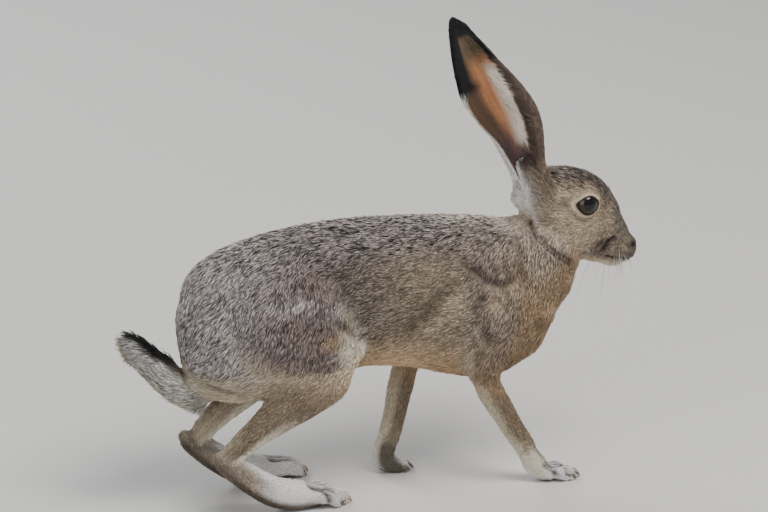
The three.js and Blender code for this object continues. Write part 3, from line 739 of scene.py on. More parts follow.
def folds_at(p):
    """How far the skin sinks into the folds at each point, and how strongly painted shade darkens the hair
    there.
    """
    q = np.stack([p[:, 0], abs(p[:, 1]), p[:, 2]], 1)
    flat = np.stack([*head_measures(p), 0 * p[:, 0]], 1)
    found = [(line_bell(q, line, width), depth, dark) for line, width, depth, dark in FOLDS]
    for line, width, depth, dark in FACE_FOLDS:
        strength = line_bell(flat, [(t, h, 0) for t, h in line], width) * smooth_step(4, 8, q[:, 1])
        found.append((strength, depth, dark))
    found.append((toe_gap_strength(p), GAP_DEPTH, GAP_SHADE))
    sunk = sum(strength * depth for strength, depth, _ in found)
    return sunk, np.max([strength * dark for strength, _, dark in found], 0)


normal = normals_of(skin_points, skin_tris)
sink, fold_shade = folds_at(skin_points)
skin_points -= normal * sink[:, None]
mouth, cleft, nostril = mouth_line(skin_points)
skin_points -= normal * (MOUTH_DEPTH * mouth + CLEFT_DEPTH * cleft + NOSTRIL_DEPTH * nostril)[:, None]
for side in (RIGHT, LEFT):
    away, almond, centre = eye_measure(skin_points, side)
    ray = unit(skin_points - centre)
    lid = smooth_step(0.93, 1.07, almond)
    near_ball = almond < 1.25
    over_ball = (EYE_RADIUS - SOCKET_SUNK) + lid * (LID_RADIUS - EYE_RADIUS + LID_RAISED)
    radius = np.where(near_ball, over_ball, away)
    blend = (1 - smooth_step(1.12, 1.25, almond)) * near_ball
    skin_points += ray * ((radius - away) * blend)[:, None]
skin_points[:, 2] = np.maximum(skin_points[:, 2], SKIN_FLOOR)
normal = normals_of(skin_points, skin_tris)
print("face pressed in; deepest nostril weight", round(float(nostril.max()), 2))

# %% [markdown]
# ## Where am I on the body?
# Colour, hair length and lie all depend on the region. For every point of the skin, the
# nearest section of each region gives how far along the path it is, the angle round it,
# and how close to that region's surface it lies. Regions share a point by that closeness.

# %% Region weights
SAMPLES = 48
CLOSENESS = 9


def region_measures(p, region):
    """Along the path (0 to 1), out and up in the section, 1 on the surface, and the direction."""
    t = np.linspace(0, 1, SAMPLES)
    row, along, up, across = path_frame(region["rows"], t)
    q = p * [1, region["side"] or 1, 1]
    square = (q ** 2).sum(1)[:, None] + (row[:, :3] ** 2).sum(1) - 2 * q @ row[:, :3].T
    k = square.argmin(1)
    d = q - row[k, :3]
    inset = np.interp(t[k], [0, 1], DEPTHS[region["kind"]])
    out, rise, over = dot(d, across[k]), dot(d, up[k]), dot(d, along[k])
    wide = row[k, 3] - inset
    tall = np.where(rise > 0, row[k, 4], row[k, 5]) - inset
    caps = region["shape"]["caps"]
    size = np.where(k == 0, caps[0], np.where(k == SAMPLES - 1, caps[1], (wide + tall) / 2))
    close = np.sqrt((out / wide) ** 2 + (rise / tall) ** 2 + (over / size) ** 2)
    return t[k], out / wide, rise / tall, close, along[k]


def flow_of(region, along):
    """The way the hair lies: a fixed direction, or on or back along the path."""
    if region["kind"] in LIES:
        return np.broadcast_to(np.array(LIES[region["kind"]]), along.shape)
    return along * [1, region["side"] or 1, 1] * FLOW.get(region["kind"], ONWARDS)


def worn(region, t, out, rise):
    """The coat's colour and spread from the four coats worn round the section at t."""
    table = WEARS[region["kind"]]
    stops = np.array([row[0] for row in table])
    reach = np.maximum(np.sqrt(out ** 2 + rise ** 2), 1e-6)
    c, s = out / reach, rise / reach
    top = smooth_step(*TOP_FROM.get(region["kind"], TOP_USUAL), s)
    under = smooth_step(*UNDER_FROM.get(region["kind"], UNDER_USUAL), -s)
    outer = (1 - top - under) * smooth_step(-0.4, 0.4, c)
    inner = 1 - top - under - outer
    total = 0
    for weight, column in ((top, 1), (outer, 2), (under, 3), (inner, 4)):
        shades = np.array([COAT[row[column]] for row in table])
        total = total + weight[:, None] * np.stack([np.interp(t, stops, shades[:, k]) for k in range(4)], 1)
    return total


def survey(p):
    """For points on the body: region shares, the lie, the coat, and each region's along and angle."""
    shares, flows, coats, spots = [], [], [], []
    for region in regions:
        t, out, rise, close, along = region_measures(p, region)
        wrong_side = region["side"] * p[:, 1] < -2
        shares.append(np.exp(-CLOSENESS * close) * ~wrong_side + 1e-12)
        flows.append(flow_of(region, along))
        coats.append(worn(region, t, out, rise))
        spots.append(np.stack([t, np.arctan2(rise, out) / (2 * math.pi) + 0.5], 1))
    shares = np.array(shares) / np.sum(shares, 0)
    lie = sum(s[:, None] * f for s, f in zip(shares, flows)) + [0, 0, -0.18]
    x, z = p[:, 0], p[:, 2]
    lie[:, 2] -= 0.8 * smooth_step(80, 130, x) * smooth_step(85, 100, z) * (1 - smooth_step(225, 250, z))
    sweep = (0.15 + 0.45 * smooth_step(-20, -110, x)) * smooth_step(130, 145, z)
    lie[:, 2] -= sweep * smooth_step(120, 90, x)
    coat = sum(s[:, None] * c for s, c in zip(shares, coats))
    return shares, lie, coat, np.array(spots)


shares, lie, coat, spots = survey(skin_points)
main_region = shares.argmax(0)
points_each = np.bincount(main_region, minlength=len(regions)).tolist()
print("points per region:", dict(zip([r["kind"] for r in regions], points_each)))

# %% [markdown]
# ## Marks that cross the regions
# Some markings belong to a place rather than to a region: the cream ring of the eye, the
# dark patch behind the whisker pad, partly dark hair and partly painted shade, and the pale
# fold at the knee. Some marks are painted light: pale patches on and behind the shoulder are
# painted highlights, and the pale band on the top of the thigh is partly pale hair and partly
# painted highlight. Each is a soft ellipsoid of one coat, on both sides of the body, and it is
# mixed in by a bell curve of the distance.

# %% Soft marks
MARKS = [
    # coat, centre along the head and above it and out, half sizes, strength
    # Behind the whisker pad: a dark patch, partly dark hair and partly painted shade where the cheek folds
    # over.
    ("dusk", head_point(58, -1, 17), (6, 7, 9), 0.45),
    ("dusk", head_point(66, 6, 16), (7, 8, 3.5), 0.3),
    ("dusk", head_point(44, 27, 22), (5, 8, 9), 0.5),
    ("pad", head_point(77, 1, 15), (9, 7, 8), 0.85),
    ("buff", head_point(60, -17, 8), (12, 12, 6), 0.3),
    # Partly painted shade: the nostril's opening darkened in the bare-skin colour.
    ("lip", head_point(89, 9.5, 9), (4, 4.5, 4), 0.85),
    ("cream", head_point(-14, 3, 26), (10, 11, 8), 0.6),
    ("dusk", head_point(-12, 33, 22), (6, 9, 8), 0.5),
    ("dusk", head_point(3, 22, 25), (11, 10, 4), 0.55),
    ("buff", (-64, 62, 168), (12, 14, 7), 0.7),
    ("knee", (-49, 61, 158), (11, 14, 18), 0.95),
    # Painted highlights: pale patches on and behind the shoulder, where the shoulder and the top of the
    # foreleg catch the light.
    ("point", (112, 47, 192), (11, 10, 8), 0.95),
    ("point", (89, 50, 183), (9, 10, 11), 0.85),
    ("point", (52, 50, 181), (12, 12, 17), 0.6),
    ("point", (33, 48, 163), (13, 12, 8), 0.5),
    # The pale band along the top of the thigh: partly pale-tipped hair, partly painted highlight where the
    # top of the thigh catches the light.
    ("frost_and_highlight", (-98, 60, 204), (24, 14, 6), 0.6),
    ("frost_and_highlight", (-64, 60, 193), (15, 14, 7), 0.5),
    ("dusk", (120, 42, 206), (7, 10, 9), 0.5),
    ("buff", (129, 10, 246), (9, 10, 8), 0.8),
    ("buff", (60, 20, 104), (60, 30, 16), 0.6),
    ("buff", (-20, 25, 110), (60, 30, 12), 0.6),
    ("buff", (118, 26, 168), (22, 20, 40), 0.35),
    ("nape", (106, 0, 257), (44, 18, 12), 0.95),
    ("ear_white", (114, 13, 268), (9, 13, 20), 0.95),
    ("ear_white", (127, 14, 264), (9, 15, 15), 0.95),
    ("dusk", (119, 33, 216), (5, 10, 14), 0.5),
    ("buttock", (-162, 32, 121), (29, 24, 14), 0.95),
    ("heel", (-166, 38, 44), (14, 14, 16), 0.6),
    ("tail_under", (-176, 14, 96), (18, 20, 14), 0.5),
]


def add_marks(p, coat):
    """Mixes each soft mark into the coat by its strength times a bell of the distance."""
    coat = coat.copy()
    q = p * [1, np.nan, 1]
    q[:, 1] = abs(p[:, 1])
    for name, centre, half, strength in MARKS:
        share = strength * np.exp(-(((q - np.asarray(centre, float)) / half) ** 2).sum(1))
        coat += (COAT[name] - coat) * share[:, None]
    # The mouth line, the cleft of the lip and the nostrils take the dark bare-skin colour: partly the
    # skin's own colour, partly painted shade in these grooves. The lid margins inside the eye opening take
    # it as their own colour.
    mouth, cleft, nostril = mouth_line(p)
    dark = np.clip(0.9 * mouth + 0.7 * cleft + 1.2 * nostril, 0, 1)
    _, h = head_measures(p)
    for side in (RIGHT, LEFT):
        _, almond, _ = eye_measure(p, side)
        below = smooth_step(6, -8, h - EYE_H)
        coat += (COAT["dusk"] - coat) * (0.5 * bell(almond - 1.8, 0.2))[:, None]
        coat += (COAT["cream"] - coat) * (0.7 * bell(almond - 1.5, 0.2) * (1 - below))[:, None]
        ring = bell(almond - 1.17 - 0.1 * below, 0.11 + 0.06 * below)
        coat += (COAT["eye_ring"] - coat) * ring[:, None]
        dark = np.maximum(dark, 1 - smooth_step(1.0, 1.08, almond))
    return coat + (COAT["lip"] - coat) * dark[:, None], dark


coat, bare = add_marks(skin_points, coat)
# Painted shade: the coat's colour is darkened in the folds and between the toes.
coat[:, :3] *= (1 - fold_shade)[:, None]
print("marks:", len(MARKS))

# %% Paint the skin
TICKING = ((2.9, 12), (1.5, 13))
TICK_GAIN = 4.6
UNDERFUR_SHADE = 0.6


def ripple(p):
    """The coat's dark and light ticking, from -1 to 1: two noises drawn out along the body."""
    drawn_out = p * [0.6, 1, 1.35]
    size = 1 + 0.5 * smooth_step(120, 150, p[:, 0])[:, None]
    coarse, fine = (lattice_noise(drawn_out * size, spacing, seed) for spacing, seed in TICKING)
    return TICK_GAIN * (0.5 * coarse + 0.5 * fine - 0.5)


def skin_tone(p, coat):
    """The mean coat, made darker and lighter by the ripple."""
    ticked = coat[:, :3] * (1 + 0.5 * coat[:, 3:] * ripple(p)[:, None])
    return np.clip(ticked * UNDERFUR_SHADE, 0.004, 1)


fused.vertices.foreach_set("co", ((skin_points + SHIFT) * MM).astype(np.float32).ravel())
fused.polygons.foreach_set("use_smooth", np.full(len(fused.polygons), True))
fused.update()
fused.name = "skin"
skin = bpy.data.objects.new("skin", fused)
bpy.context.scene.collection.objects.link(skin)
paint(skin, "coat", skin_tone(skin_points, coat))
print("skin:", len(skin_tris), "triangles")

# %% [markdown]
# ## Two finishes shared by every furred piece
# Hair is too fine to model one by one, so the last bit of grain comes from the material.
# A node group gives a fine mottle and its height; each material joins it to its own
# colours. Roughness is high and a little sheen stands for the light that grazes hair.

# %% Grain group and materials


def new_material(name):
    """A material, with its nodes, its link function and its shader."""
    material = bpy.data.materials.new(name)
    material.use_nodes = True
    nodes = material.node_tree.nodes
    return material, nodes, material.node_tree.links.new, nodes["Principled BSDF"]


def set_values(node, values):
    """Sets inputs of a node by their names."""
    for name, value in values.items():
        node.inputs[name].default_value = value


def arithmetic(nodes, kind, operation):
    """A node that does one operation on numbers or on vectors."""
    node = nodes.new(kind)
    node.operation = operation
    return node


def grain_group():
    """Two noises, one of hair's width and one of a lock's, that vary a colour and a height."""
    group = bpy.data.node_groups.new("hair_grain", "ShaderNodeTree")
    face = group.interface
    face.new_socket("Coat", in_out="INPUT", socket_type="NodeSocketColor")
    fine_in = face.new_socket("Fine scale", in_out="INPUT", socket_type="NodeSocketFloat")
    amount_in = face.new_socket("Amount", in_out="INPUT", socket_type="NodeSocketFloat")
    fine_in.default_value, amount_in.default_value = 900.0, 0.35
    face.new_socket("Colour", in_out="OUTPUT", socket_type="NodeSocketColor")
    face.new_socket("Height", in_out="OUTPUT", socket_type="NodeSocketFloat")
    nodes, link = group.nodes, group.links.new
    start, end = nodes.new("NodeGroupInput"), nodes.new("NodeGroupOutput")
    place = nodes.new("ShaderNodeTexCoord")
    fine, lock = nodes.new("ShaderNodeTexNoise"), nodes.new("ShaderNodeTexNoise")
    lock.inputs["Scale"].default_value = 420.0
    for noise in (fine, lock):
        link(place.outputs["Object"], noise.inputs["Vector"])
        noise.inputs["Detail"].default_value = 2.0
    link(start.outputs["Fine scale"], fine.inputs["Scale"])
    both = arithmetic(nodes, "ShaderNodeMath", "ADD")
    link(fine.outputs["Fac"], both.inputs[0])
    link(lock.outputs["Fac"], both.inputs[1])
    spread = arithmetic(nodes, "ShaderNodeMath", "MULTIPLY_ADD")
    link(both.outputs[0], spread.inputs[0])
    link(start.outputs["Amount"], spread.inputs[1])
    level = arithmetic(nodes, "ShaderNodeMath", "SUBTRACT")
    level.inputs[0].default_value = 1.0
    link(start.outputs["Amount"], level.inputs[1])
    link(level.outputs[0], spread.inputs[2])
    tint = arithmetic(nodes, "ShaderNodeVectorMath", "SCALE")
    link(start.outputs["Coat"], tint.inputs[0])
    link(spread.outputs[0], tint.inputs["Scale"])
    link(tint.outputs[0], end.inputs["Colour"])
    link(both.outputs[0], end.inputs["Height"])
    return group


GRAIN = grain_group()


def furred(name, attribute, amount, rough, bump, sheen, scale=900.0):
    """A coat material: painted colour through the grain group, with bump and sheen."""
    material, nodes, link, shader = new_material(name)
    colour = nodes.new("ShaderNodeAttribute")
    colour.attribute_name = attribute
    grain = nodes.new("ShaderNodeGroup")
    grain.node_tree = GRAIN
    set_values(grain, {"Amount": amount, "Fine scale": scale})
    link(colour.outputs["Color"], grain.inputs["Coat"])
    link(grain.outputs["Colour"], shader.inputs["Base Color"])
    relief = nodes.new("ShaderNodeBump")
    set_values(relief, {"Strength": bump, "Distance": 0.0006})
    link(grain.outputs["Height"], relief.inputs["Height"])
    link(relief.outputs["Normal"], shader.inputs["Normal"])
    set_values(shader, {"Roughness": rough, "Specular IOR Level": 0.18,
                        "Sheen Weight": sheen, "Sheen Roughness": 0.5})
    return material


underfur = furred("underfur", "coat", 0.4, 0.9, 0.7, 0.03)
guard_hair = furred("guard_hair", "coat", 0.3, 0.7, 0.2, 0.04)
ear_skin = furred("ear_skin", "coat", 0.3, 0.6, 0.4, 0.1, 700.0)
skin.data.materials.append(underfur)
LEG_PARTS = ("thigh", "shank", "hind_foot", "shoulder", "forearm", "forefoot")
FLESH = ["head", "neck", "chest", "belly", "rump", "tail"]
FLESH += [f"{part}_{side}" for part in LEG_PARTS for side in SIDES]
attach(skin, "root")
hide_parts(*FLESH)
print("materials:", [m.name for m in bpy.data.materials])

# %% [markdown]
# ## Tufts of guard hair
# The export keeps only meshes, so the coat is made of small solid tufts. A tuft is a thin
# three-sided blade: it leaves the skin, bends over, and runs to a point along the lie of
# the coat. Tens of thousands of them are worked out together as arrays, each with its own
# length, yaw and tone, and neighbours share part of their yaw so that the coat clumps.

# %% The tuft maker
TUFT_RINGS = {"long": (0.0, 0.34, 0.7), "short": (0.0, 0.5)}
RING_WIDTH = {"long": (0.7, 1.0, 0.72), "short": (0.85, 0.9)}
HAIR_FLOOR = 0.25
DARK_TIPS, TIP_DARKER, TIP_LIGHTER = 0.45, 0.85, 0.6


def tuft_faces(rings):
    """Triangles of one blade: a root face, side walls between rings of three, and the point."""
    faces = [(0, 2, 1)]
    for r in range(rings - 1):
        for k in range(3):
            a, b = 3 * r + k, 3 * r + (k + 1) % 3
            faces += [(a, b, b + 3), (a, b + 3, a + 3)]
    tip = 3 * rings
    faces += [(tip - 3 + k, tip - 3 + (k + 1) % 3, tip) for k in range(3)]
    return np.array(faces)


def tuft_cloud(root, normal, lie, length, width, rise, fall, kind):
    """Points of every blade. At u along it the middle line is root + lie u L + normal (rise u -
    fall u squared) L, and the section is a flat triangle that narrows to nothing at u = 1."""
    out = unit(normal)
    ahead = unit(lie - out * dot(lie, out)[:, None])
    cross = np.cross(out, ahead)
    stops = TUFT_RINGS[kind] + (1.0,)
    line = [root + (ahead * u + out * (rise * u - fall * u * u)[:, None]) * length[:, None]
            for u in stops]
    corners = [(0.0, 0.42), (-0.5, -0.14), (0.5, -0.14)]
    points = []
    for u, scale, middle in zip(stops, RING_WIDTH[kind], line):
        for a, b in corners:
            points.append(middle + (cross * a + out * b) * (width * scale)[:, None])
    points.append(line[-1])
    return np.stack(points, 1)


def make_tufts(name, cloud, tones, uv, kind, material):
    """One piece of many blades, with its colours and its patches on the map named OFBake."""
    count, each = cloud.shape[:2]
    cloud[..., 2] = np.maximum(cloud[..., 2], HAIR_FLOOR)
    faces = tuft_faces(len(TUFT_RINGS[kind]))
    tris = (faces[None] + (np.arange(count) * each)[:, None, None]).reshape(-1, 3)
    piece = make_piece(name, (cloud.reshape(-1, 3), np.zeros((0, 4), int), tris))
    ring = np.minimum(np.arange(each) // 3, len(TUFT_RINGS[kind]))
    paint(piece, "coat", tones[:, ring].reshape(-1, 3))
    k = np.arange(each)
    u = np.append(np.array(TUFT_RINGS[kind]), 1.0)[ring]
    patch = np.stack([(k % 3 - 1) * 0.0015 * (u < 1), (u - 0.5) * 0.003], 1)
    where = (uv[:, None] + patch[None]).reshape(-1, 2)
    layer = piece.data.uv_layers.new(name="OFBake")
    layer.uv.foreach_set("vector", np.clip(where, 0, 1)[tris.ravel()].astype(np.float32).ravel())
    piece.data.materials.append(material)
    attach(piece, "root")
    return piece


def banded(coat, tone, tip, kind):
    """Colours of a blade's rings: dark root, the tuft's own tone, and a pale or dark tip."""
    mean, spread = coat[:, :3], coat[:, 3:]
    grey = mean.mean(1, keepdims=True)
    light = mean * 0.72 + grey * 0.28
    body = mean * (1 + spread * np.minimum(tone, 0)[:, None])
    body = body + light * (spread * np.maximum(tone, 0)[:, None] * 1.2)
    dark_end = 1 - TIP_DARKER * np.minimum(coat[:, 3], 1)
    end = body * np.where(tip < DARK_TIPS, dark_end, 1 + TIP_LIGHTER * coat[:, 3])[:, None]
    rings = [body * 0.5, body, body * 1.06, end] if kind == "long" else [body * 0.62, body, end]
    return np.clip(np.stack(rings, 1), 0.003, 0.95)


print("a long tuft has", len(tuft_faces(3)), "faces and a short one", len(tuft_faces(2)))

# %% [markdown]
# ## Growing the coat
# Roots are spread evenly by area over the skin's triangles. Every region has its own hair:
# long and loose on the tail and rump, short on the legs, and very small on the face.

# %% Coat table and roots
HAIR = {
    # region: length mm, width mm, rise, mm2 of skin for each tuft, kind of blade
    "trunk": (7.4, 0.78, 0.33, 2.0, "short"), "neck": (6.8, 0.68, 0.4, 1.5, "short"),
    "thigh": (7.5, 0.8, 0.3, 1.8, "short"), "shoulder": (7.5, 0.75, 0.32, 1.6, "short"),
    "shank": (6, 0.75, 0.3, 1.7, "short"), "forearm": (5.5, 0.7, 0.3, 1.5, "short"),
    "hind_foot": (4.2, 0.8, 0.3, 1.8, "short"), "forefoot": (4, 0.75, 0.3, 1.6, "short"),
    "tail": (11.5, 0.75, 0.5, 1.05, "long"), "head": (4.8, 0.6, 0.42, 1.0, "short"),
    "ear_butt": (6, 0.8, 0.32, 1.3, "short"),
}
CUTS = {"trunk": (-120, -60, 0, 60)}

corner = [skin_points[skin_tris[:, k]] for k in range(3)]
tri_area = np.linalg.norm(np.cross(corner[1] - corner[0], corner[2] - corner[0]), axis=1) / 2
tri_region = main_region[skin_tris[:, 0]]
tri_middle = sum(corner) / 3


def scatter(tris, spacing, rng):
    """Roots spread by area: equal steps along the running total of area, each a little astray."""
    running = np.cumsum(tri_area[tris])
    count = int(running[-1] / spacing)
    at = (np.arange(count) + rng.random(count)) / count * running[-1]
    chosen = tris[np.minimum(np.searchsorted(running, at), len(tris) - 1)]
    u, v = rng.random((2, count, 1))
    flip = u + v > 1
    u, v = np.where(flip, 1 - u, u), np.where(flip, 1 - v, v)
    return chosen, np.concatenate([1 - u - v, u, v], 1)


def carried(values, tris, weights):
    """A value of the skin's points at places inside its triangles."""
    return sum(values[skin_tris[tris, k]] * weights[:, k:k + 1] for k in range(3))


def hair_length(kind, root, length):
    """The face's hair is shortest on the muzzle and longest on the cheek, the feet's at the toes."""
    if kind == "head":
        t, h = head_measures(root)
        along = np.interp(t, [-20, 20, 50, 75, 95], [1.5, 1.15, 0.95, 0.6, 0.4])
        along = along * np.interp(h, [32, 46], [1, 1.65])
        ring = np.minimum(*(eye_measure(root, side)[1] for side in (RIGHT, LEFT)))
        return length * along * np.interp(ring, [1.2, 2.1], [0.35, 1])
    if kind == "neck":
        return length * np.interp(root[:, 2], [150, 200, 240], [1.4, 1.2, 0.9])
    if kind == "trunk":
        breast = 0.35 * smooth_step(215, 190, root[:, 2]) * smooth_step(90, 125, root[:, 0])
        return length * np.interp(root[:, 0], [-180, -120, 0, 110], [1.1, 1.05, 1, 1]) * (1 + breast)
    if kind in TOE_GAPS:
        return length * np.interp(root[:, 2], [12, 26], [0.6, 1])
    return np.full(len(root), float(length))


def loose(kind, root):
    """How much more the hair stands up on the crown, on the breast and under the belly."""
    if kind == "head":
        t, h = head_measures(root)
        return 0.45 * smooth_step(30, 44, h) * smooth_step(-25, -10, t) * smooth_step(55, 35, t)
    x, z = root[:, 0], root[:, 2]
    front = smooth_step(90, 130, x) * smooth_step(235, 215, z) * smooth_step(90, 110, z)
    below = smooth_step(122, 108, z) * smooth_step(88, 98, z) * (kind == "trunk")
    return 0.25 * front + 0.2 * below


def grow_coat(name, kind, tris, region_index):
    """Grows one piece of coat on some triangles of the skin."""
    length, width, rise, spacing, blade = HAIR[kind]
    chosen, weights = scatter(tris, spacing, rng)
    root, out = carried(skin_points, chosen, weights), unit(carried(normal, chosen, weights))
    keep = (carried(bare[:, None], chosen, weights)[:, 0] < 0.35) & ~((root[:, 2] < 5) & (out[:, 2] < -0.5))
    chosen, weights, root, out = chosen[keep], weights[keep], root[keep], out[keep]
    flow, wears = carried(lie, chosen, weights), carried(coat, chosen, weights)
    count = len(root)
    sway = (lattice_noise(root, 14.0, 11) - 0.5) * 0.9 + rng.normal(0, 0.13, count)
    flow = unit(flow - out * dot(flow, out)[:, None])
    flow = flow + np.cross(out, flow) * sway[:, None]
    tone = np.clip(rng.normal(0, 0.75, count) + 0.4 * ripple(root), -1, 1)
    long = hair_length(kind, root, length) * rng.uniform(0.78, 1.2, count)
    # Painted shade: a tuft whose tip lies in a fold or between toes is darkened, and it is also made
    # shorter there.
    shade = folds_at(root + unit(flow) * (long * 0.8)[:, None])[1]
    long = long * (1 - 0.55 * np.maximum(shade, carried(fold_shade[:, None], chosen, weights)[:, 0]))
    if kind in TOE_GAPS:
        along = carried(spots[region_index], chosen, weights)[:, 0]
        long = long * (1 + 1.2 * smooth_step(0.84, 0.97, along))
    lift = rise * rng.uniform(0.7, 1.3, count) * np.where(rng.random(count) < 0.04, 1.8, 1)
    lift = lift + loose(kind, root)
    if kind == "tail":
        facing = dot(unit(carried(lie, chosen, weights)), out)
        lift = lift + 1.3 * smooth_step(0.5, 0.95, facing)
    wide = width * rng.uniform(0.8, 1.2, count) * np.sqrt(hair_length(kind, root, 1.0))
    cloud = tuft_cloud(root - out * 0.5, out, flow, long, wide, lift, lift * 0.62, blade)
    uv = 0.02 + 0.96 * carried(spots[region_index], chosen, weights)
    tones = banded(wears, tone, rng.random(count), blade)
    tones[:, 1:] *= (1 - shade)[:, None, None]
    make_tufts(name, cloud, tones, uv, blade, guard_hair)
    return count, count * len(tuft_faces(len(TUFT_RINGS[blade])))


total = 0
for index, region in enumerate(regions):
    kind = region["kind"]
    mine = np.flatnonzero(tri_region == index)
    borders = (-math.inf, *CUTS.get(kind, ()), math.inf)
    for n, (low_x, high_x) in enumerate(zip(borders[:-1], borders[1:])):
        band = mine[(tri_middle[mine, 0] >= low_x) & (tri_middle[mine, 0] < high_x)]
        suffix = {RIGHT: "_right", LEFT: "_left", 0: ""}[region["side"]]
        name = f"coat_{kind}{suffix}" + (f"_{n + 1}" if len(borders) > 2 else "")
        count, faces = grow_coat(name, kind, band, index)
        total += faces
        print(f"{name}: {count} tufts, {faces} triangles")
print("coat of the body:", total, "triangles")

# %% [markdown]
# ## Ears
# A jackrabbit's ear is a tall thin leaf of skin, bent across its length into a cup. The
# section is a curve whose bend grows towards each margin, and the leaf is widest under
# the middle. Both faces are one closed sheet that thins to a rounded rim.

# %% The leaf of the ear
EAR_ROWS = [
    [0, 21, 15, 270, 120], [0.1, 29, 15, 268, 112], [0.2, 40, 15.5, 266, 104], [0.32, 52, 17, 258, 90],
    [0.44, 55.5, 23, 235, 76], [0.56, 48, 25.5, 194, 64], [0.68, 36.5, 22, 155, 56],
    [0.8, 24, 16.8, 120, 50], [0.9, 14.5, 11, 92, 44], [0.96, 8.5, 7, 84, 40], [1, 3, 3, 80, 40],
]
EAR_LENGTH, EAR_THICKNESS, EAR_SETBACK, EAR_CURL = 168, 2.4, 8, 2.6
EAR_ROOT = np.array([137.0, 18.0, 277.0])
EAR_LEAN = {RIGHT: (-0.445, 0.03, 0.89), LEFT: (-0.425, 0.005, 0.905)}
EAR_OPEN = np.array([-0.22, 1.0, -0.05])
EAR_STEPS = 200
NICK_AT, NICK_DEPTH = 0.655, 5.5


def ear_frame(side):
    """The ear's own directions: up its length, out of its opening, and towards its front edge."""
    lean = unit(np.array(EAR_LEAN[side]) * [1, side, 1])
    opening = EAR_OPEN * [1, side, 1]
    opening = unit(opening - lean * opening.dot(lean))
    return lean, opening, np.cross(opening, lean) * side


def ear_section(row, column, side):
    """Forward and outward place and the angle at each column, from -1 at the back margin to 1 at
    the front. The angle is the bend times the column to the power 2.6, summed along the curve."""
    nick = NICK_DEPTH * np.exp(-((row[:, 0] - NICK_AT) / 0.026) ** 2) if side == RIGHT else 0
    k = (np.arange(EAR_STEPS) + 0.5) / EAR_STEPS
    at = abs(column) * EAR_STEPS - 1
    steps = np.arange(-1, EAR_STEPS)
    pick = lambda values: np.array([np.interp(at, steps, np.append(0, v)) for v in values])
    result = []
    for sign, wide, bend in ((1, row[:, 1], row[:, 3]), (-1, row[:, 2] - nick, row[:, 4])):
        angle = np.radians(bend)[:, None] * k ** EAR_CURL
        forward = np.cumsum(np.cos(angle), 1) * wide[:, None] / EAR_STEPS
        outward = np.cumsum(np.sin(angle), 1) * wide[:, None] / EAR_STEPS
        result.append((pick(forward) * sign, pick(outward), pick(angle) * sign))
    front = column >= 0
    return [np.where(front, a, b) for a, b in zip(*result)]


def ear_points(t, column, side, face):
    """Points of one face of the ear: face 1 is the hollow inside, -1 is the back. The rows give
    the share of the length at t. The faces stand half a thickness apart, less at the margins."""
    row = rows_at(EAR_ROWS, t)
    share = row[:, 0]
    forward, outward, angle = ear_section(row, column, side)
    edge = np.sqrt(np.clip(1 - abs(column) ** 8, 0, 1))[None] * np.sqrt(np.clip(1 - t ** 30, 0, 1))[:, None]
    thick = (EAR_THICKNESS * (1.15 - 0.65 * share) / 2)[:, None] * edge * face * 0.8
    forward, outward = forward - np.sin(angle) * thick, outward + np.cos(angle) * thick
    lean, opening, ahead = ear_frame(side)
    root = EAR_ROOT * [1, side, 1]
    return (root + share[:, None, None] * EAR_LENGTH * lean + forward[..., None] * ahead
            + (outward - EAR_SETBACK)[..., None] * opening)


def leaf(side, rows=110, columns=72):
    """Both faces as one ring round the section, row by row, closed at root and tip."""
    t = np.linspace(0, 1, rows)
    share = rows_at(EAR_ROWS, t)[:, 0]
    spread = np.sin(np.linspace(-math.pi / 2, math.pi / 2, columns))
    spread = np.sign(spread) * abs(spread) ** 0.8
    inner, outer = (ear_points(t, spread, side, face) for face in (1, -1))
    ring = np.concatenate([inner, outer[:, -2:0:-1]], 1)
    across = np.concatenate([spread, spread[-2:0:-1]])
    inside = np.concatenate([np.ones(columns), np.zeros(columns - 2)])
    place = [np.broadcast_to(v, (rows, len(across))) for v in (share[:, None], across, inside)]
    flat = [np.concatenate([[p[0, 0]], p.reshape(-1), [p[-1, 0]]]) for p in place]
    return closed_grid(capped(ring)), flat


print("ear of", EAR_LENGTH, "mm")

# %% [markdown]
# ## The ear's colours
# Inside, the skin is nearly bare: orange-brown along the middle, dark towards the back
# margin, with a cream fringe on the front margin, and darker low in the hollow, which is
# painted shade. The back of the ear is grizzled brown on its front band and white behind,
# and its last fifth is black.

# %% Paint and fringe the ears
EAR_INSIDE = {"middle": linear((178, 122, 84)), "deep": linear((84, 66, 66)),
              "rear": linear((84, 64, 50)), "edge": linear((172, 162, 144)),
              "fringe": linear((236, 224, 208)), "olive": linear((92, 80, 60))}
EAR_SPREAD, EAR_ROOT_SUNK = 0.3, 0.25
EAR_HAIR = [
    # where, how many, on the inside, across, along, length, width, rise, tilt
    ("back", 5200, False, (-0.98, 0.98), (0.04, 0.98), 5.5, 0.8, 0.2, 0.0),
    ("fringe", 1300, False, (0.86, 0.995), (0.14, 0.8), 9.5, 0.6, 0.22, 0.8),
    ("front", 900, True, (0.16, 0.6), (0.16, 0.85), 6.5, 0.5, 0.16, -0.3),
    ("rear_edge", 500, True, (-0.985, -0.88), (0.1, 0.95), 4, 0.6, 0.2, 0.2),
    ("down", 900, True, (-0.85, 0.15), (0.06, 0.93), 4.5, 0.4, 0.12, 0.0),
]


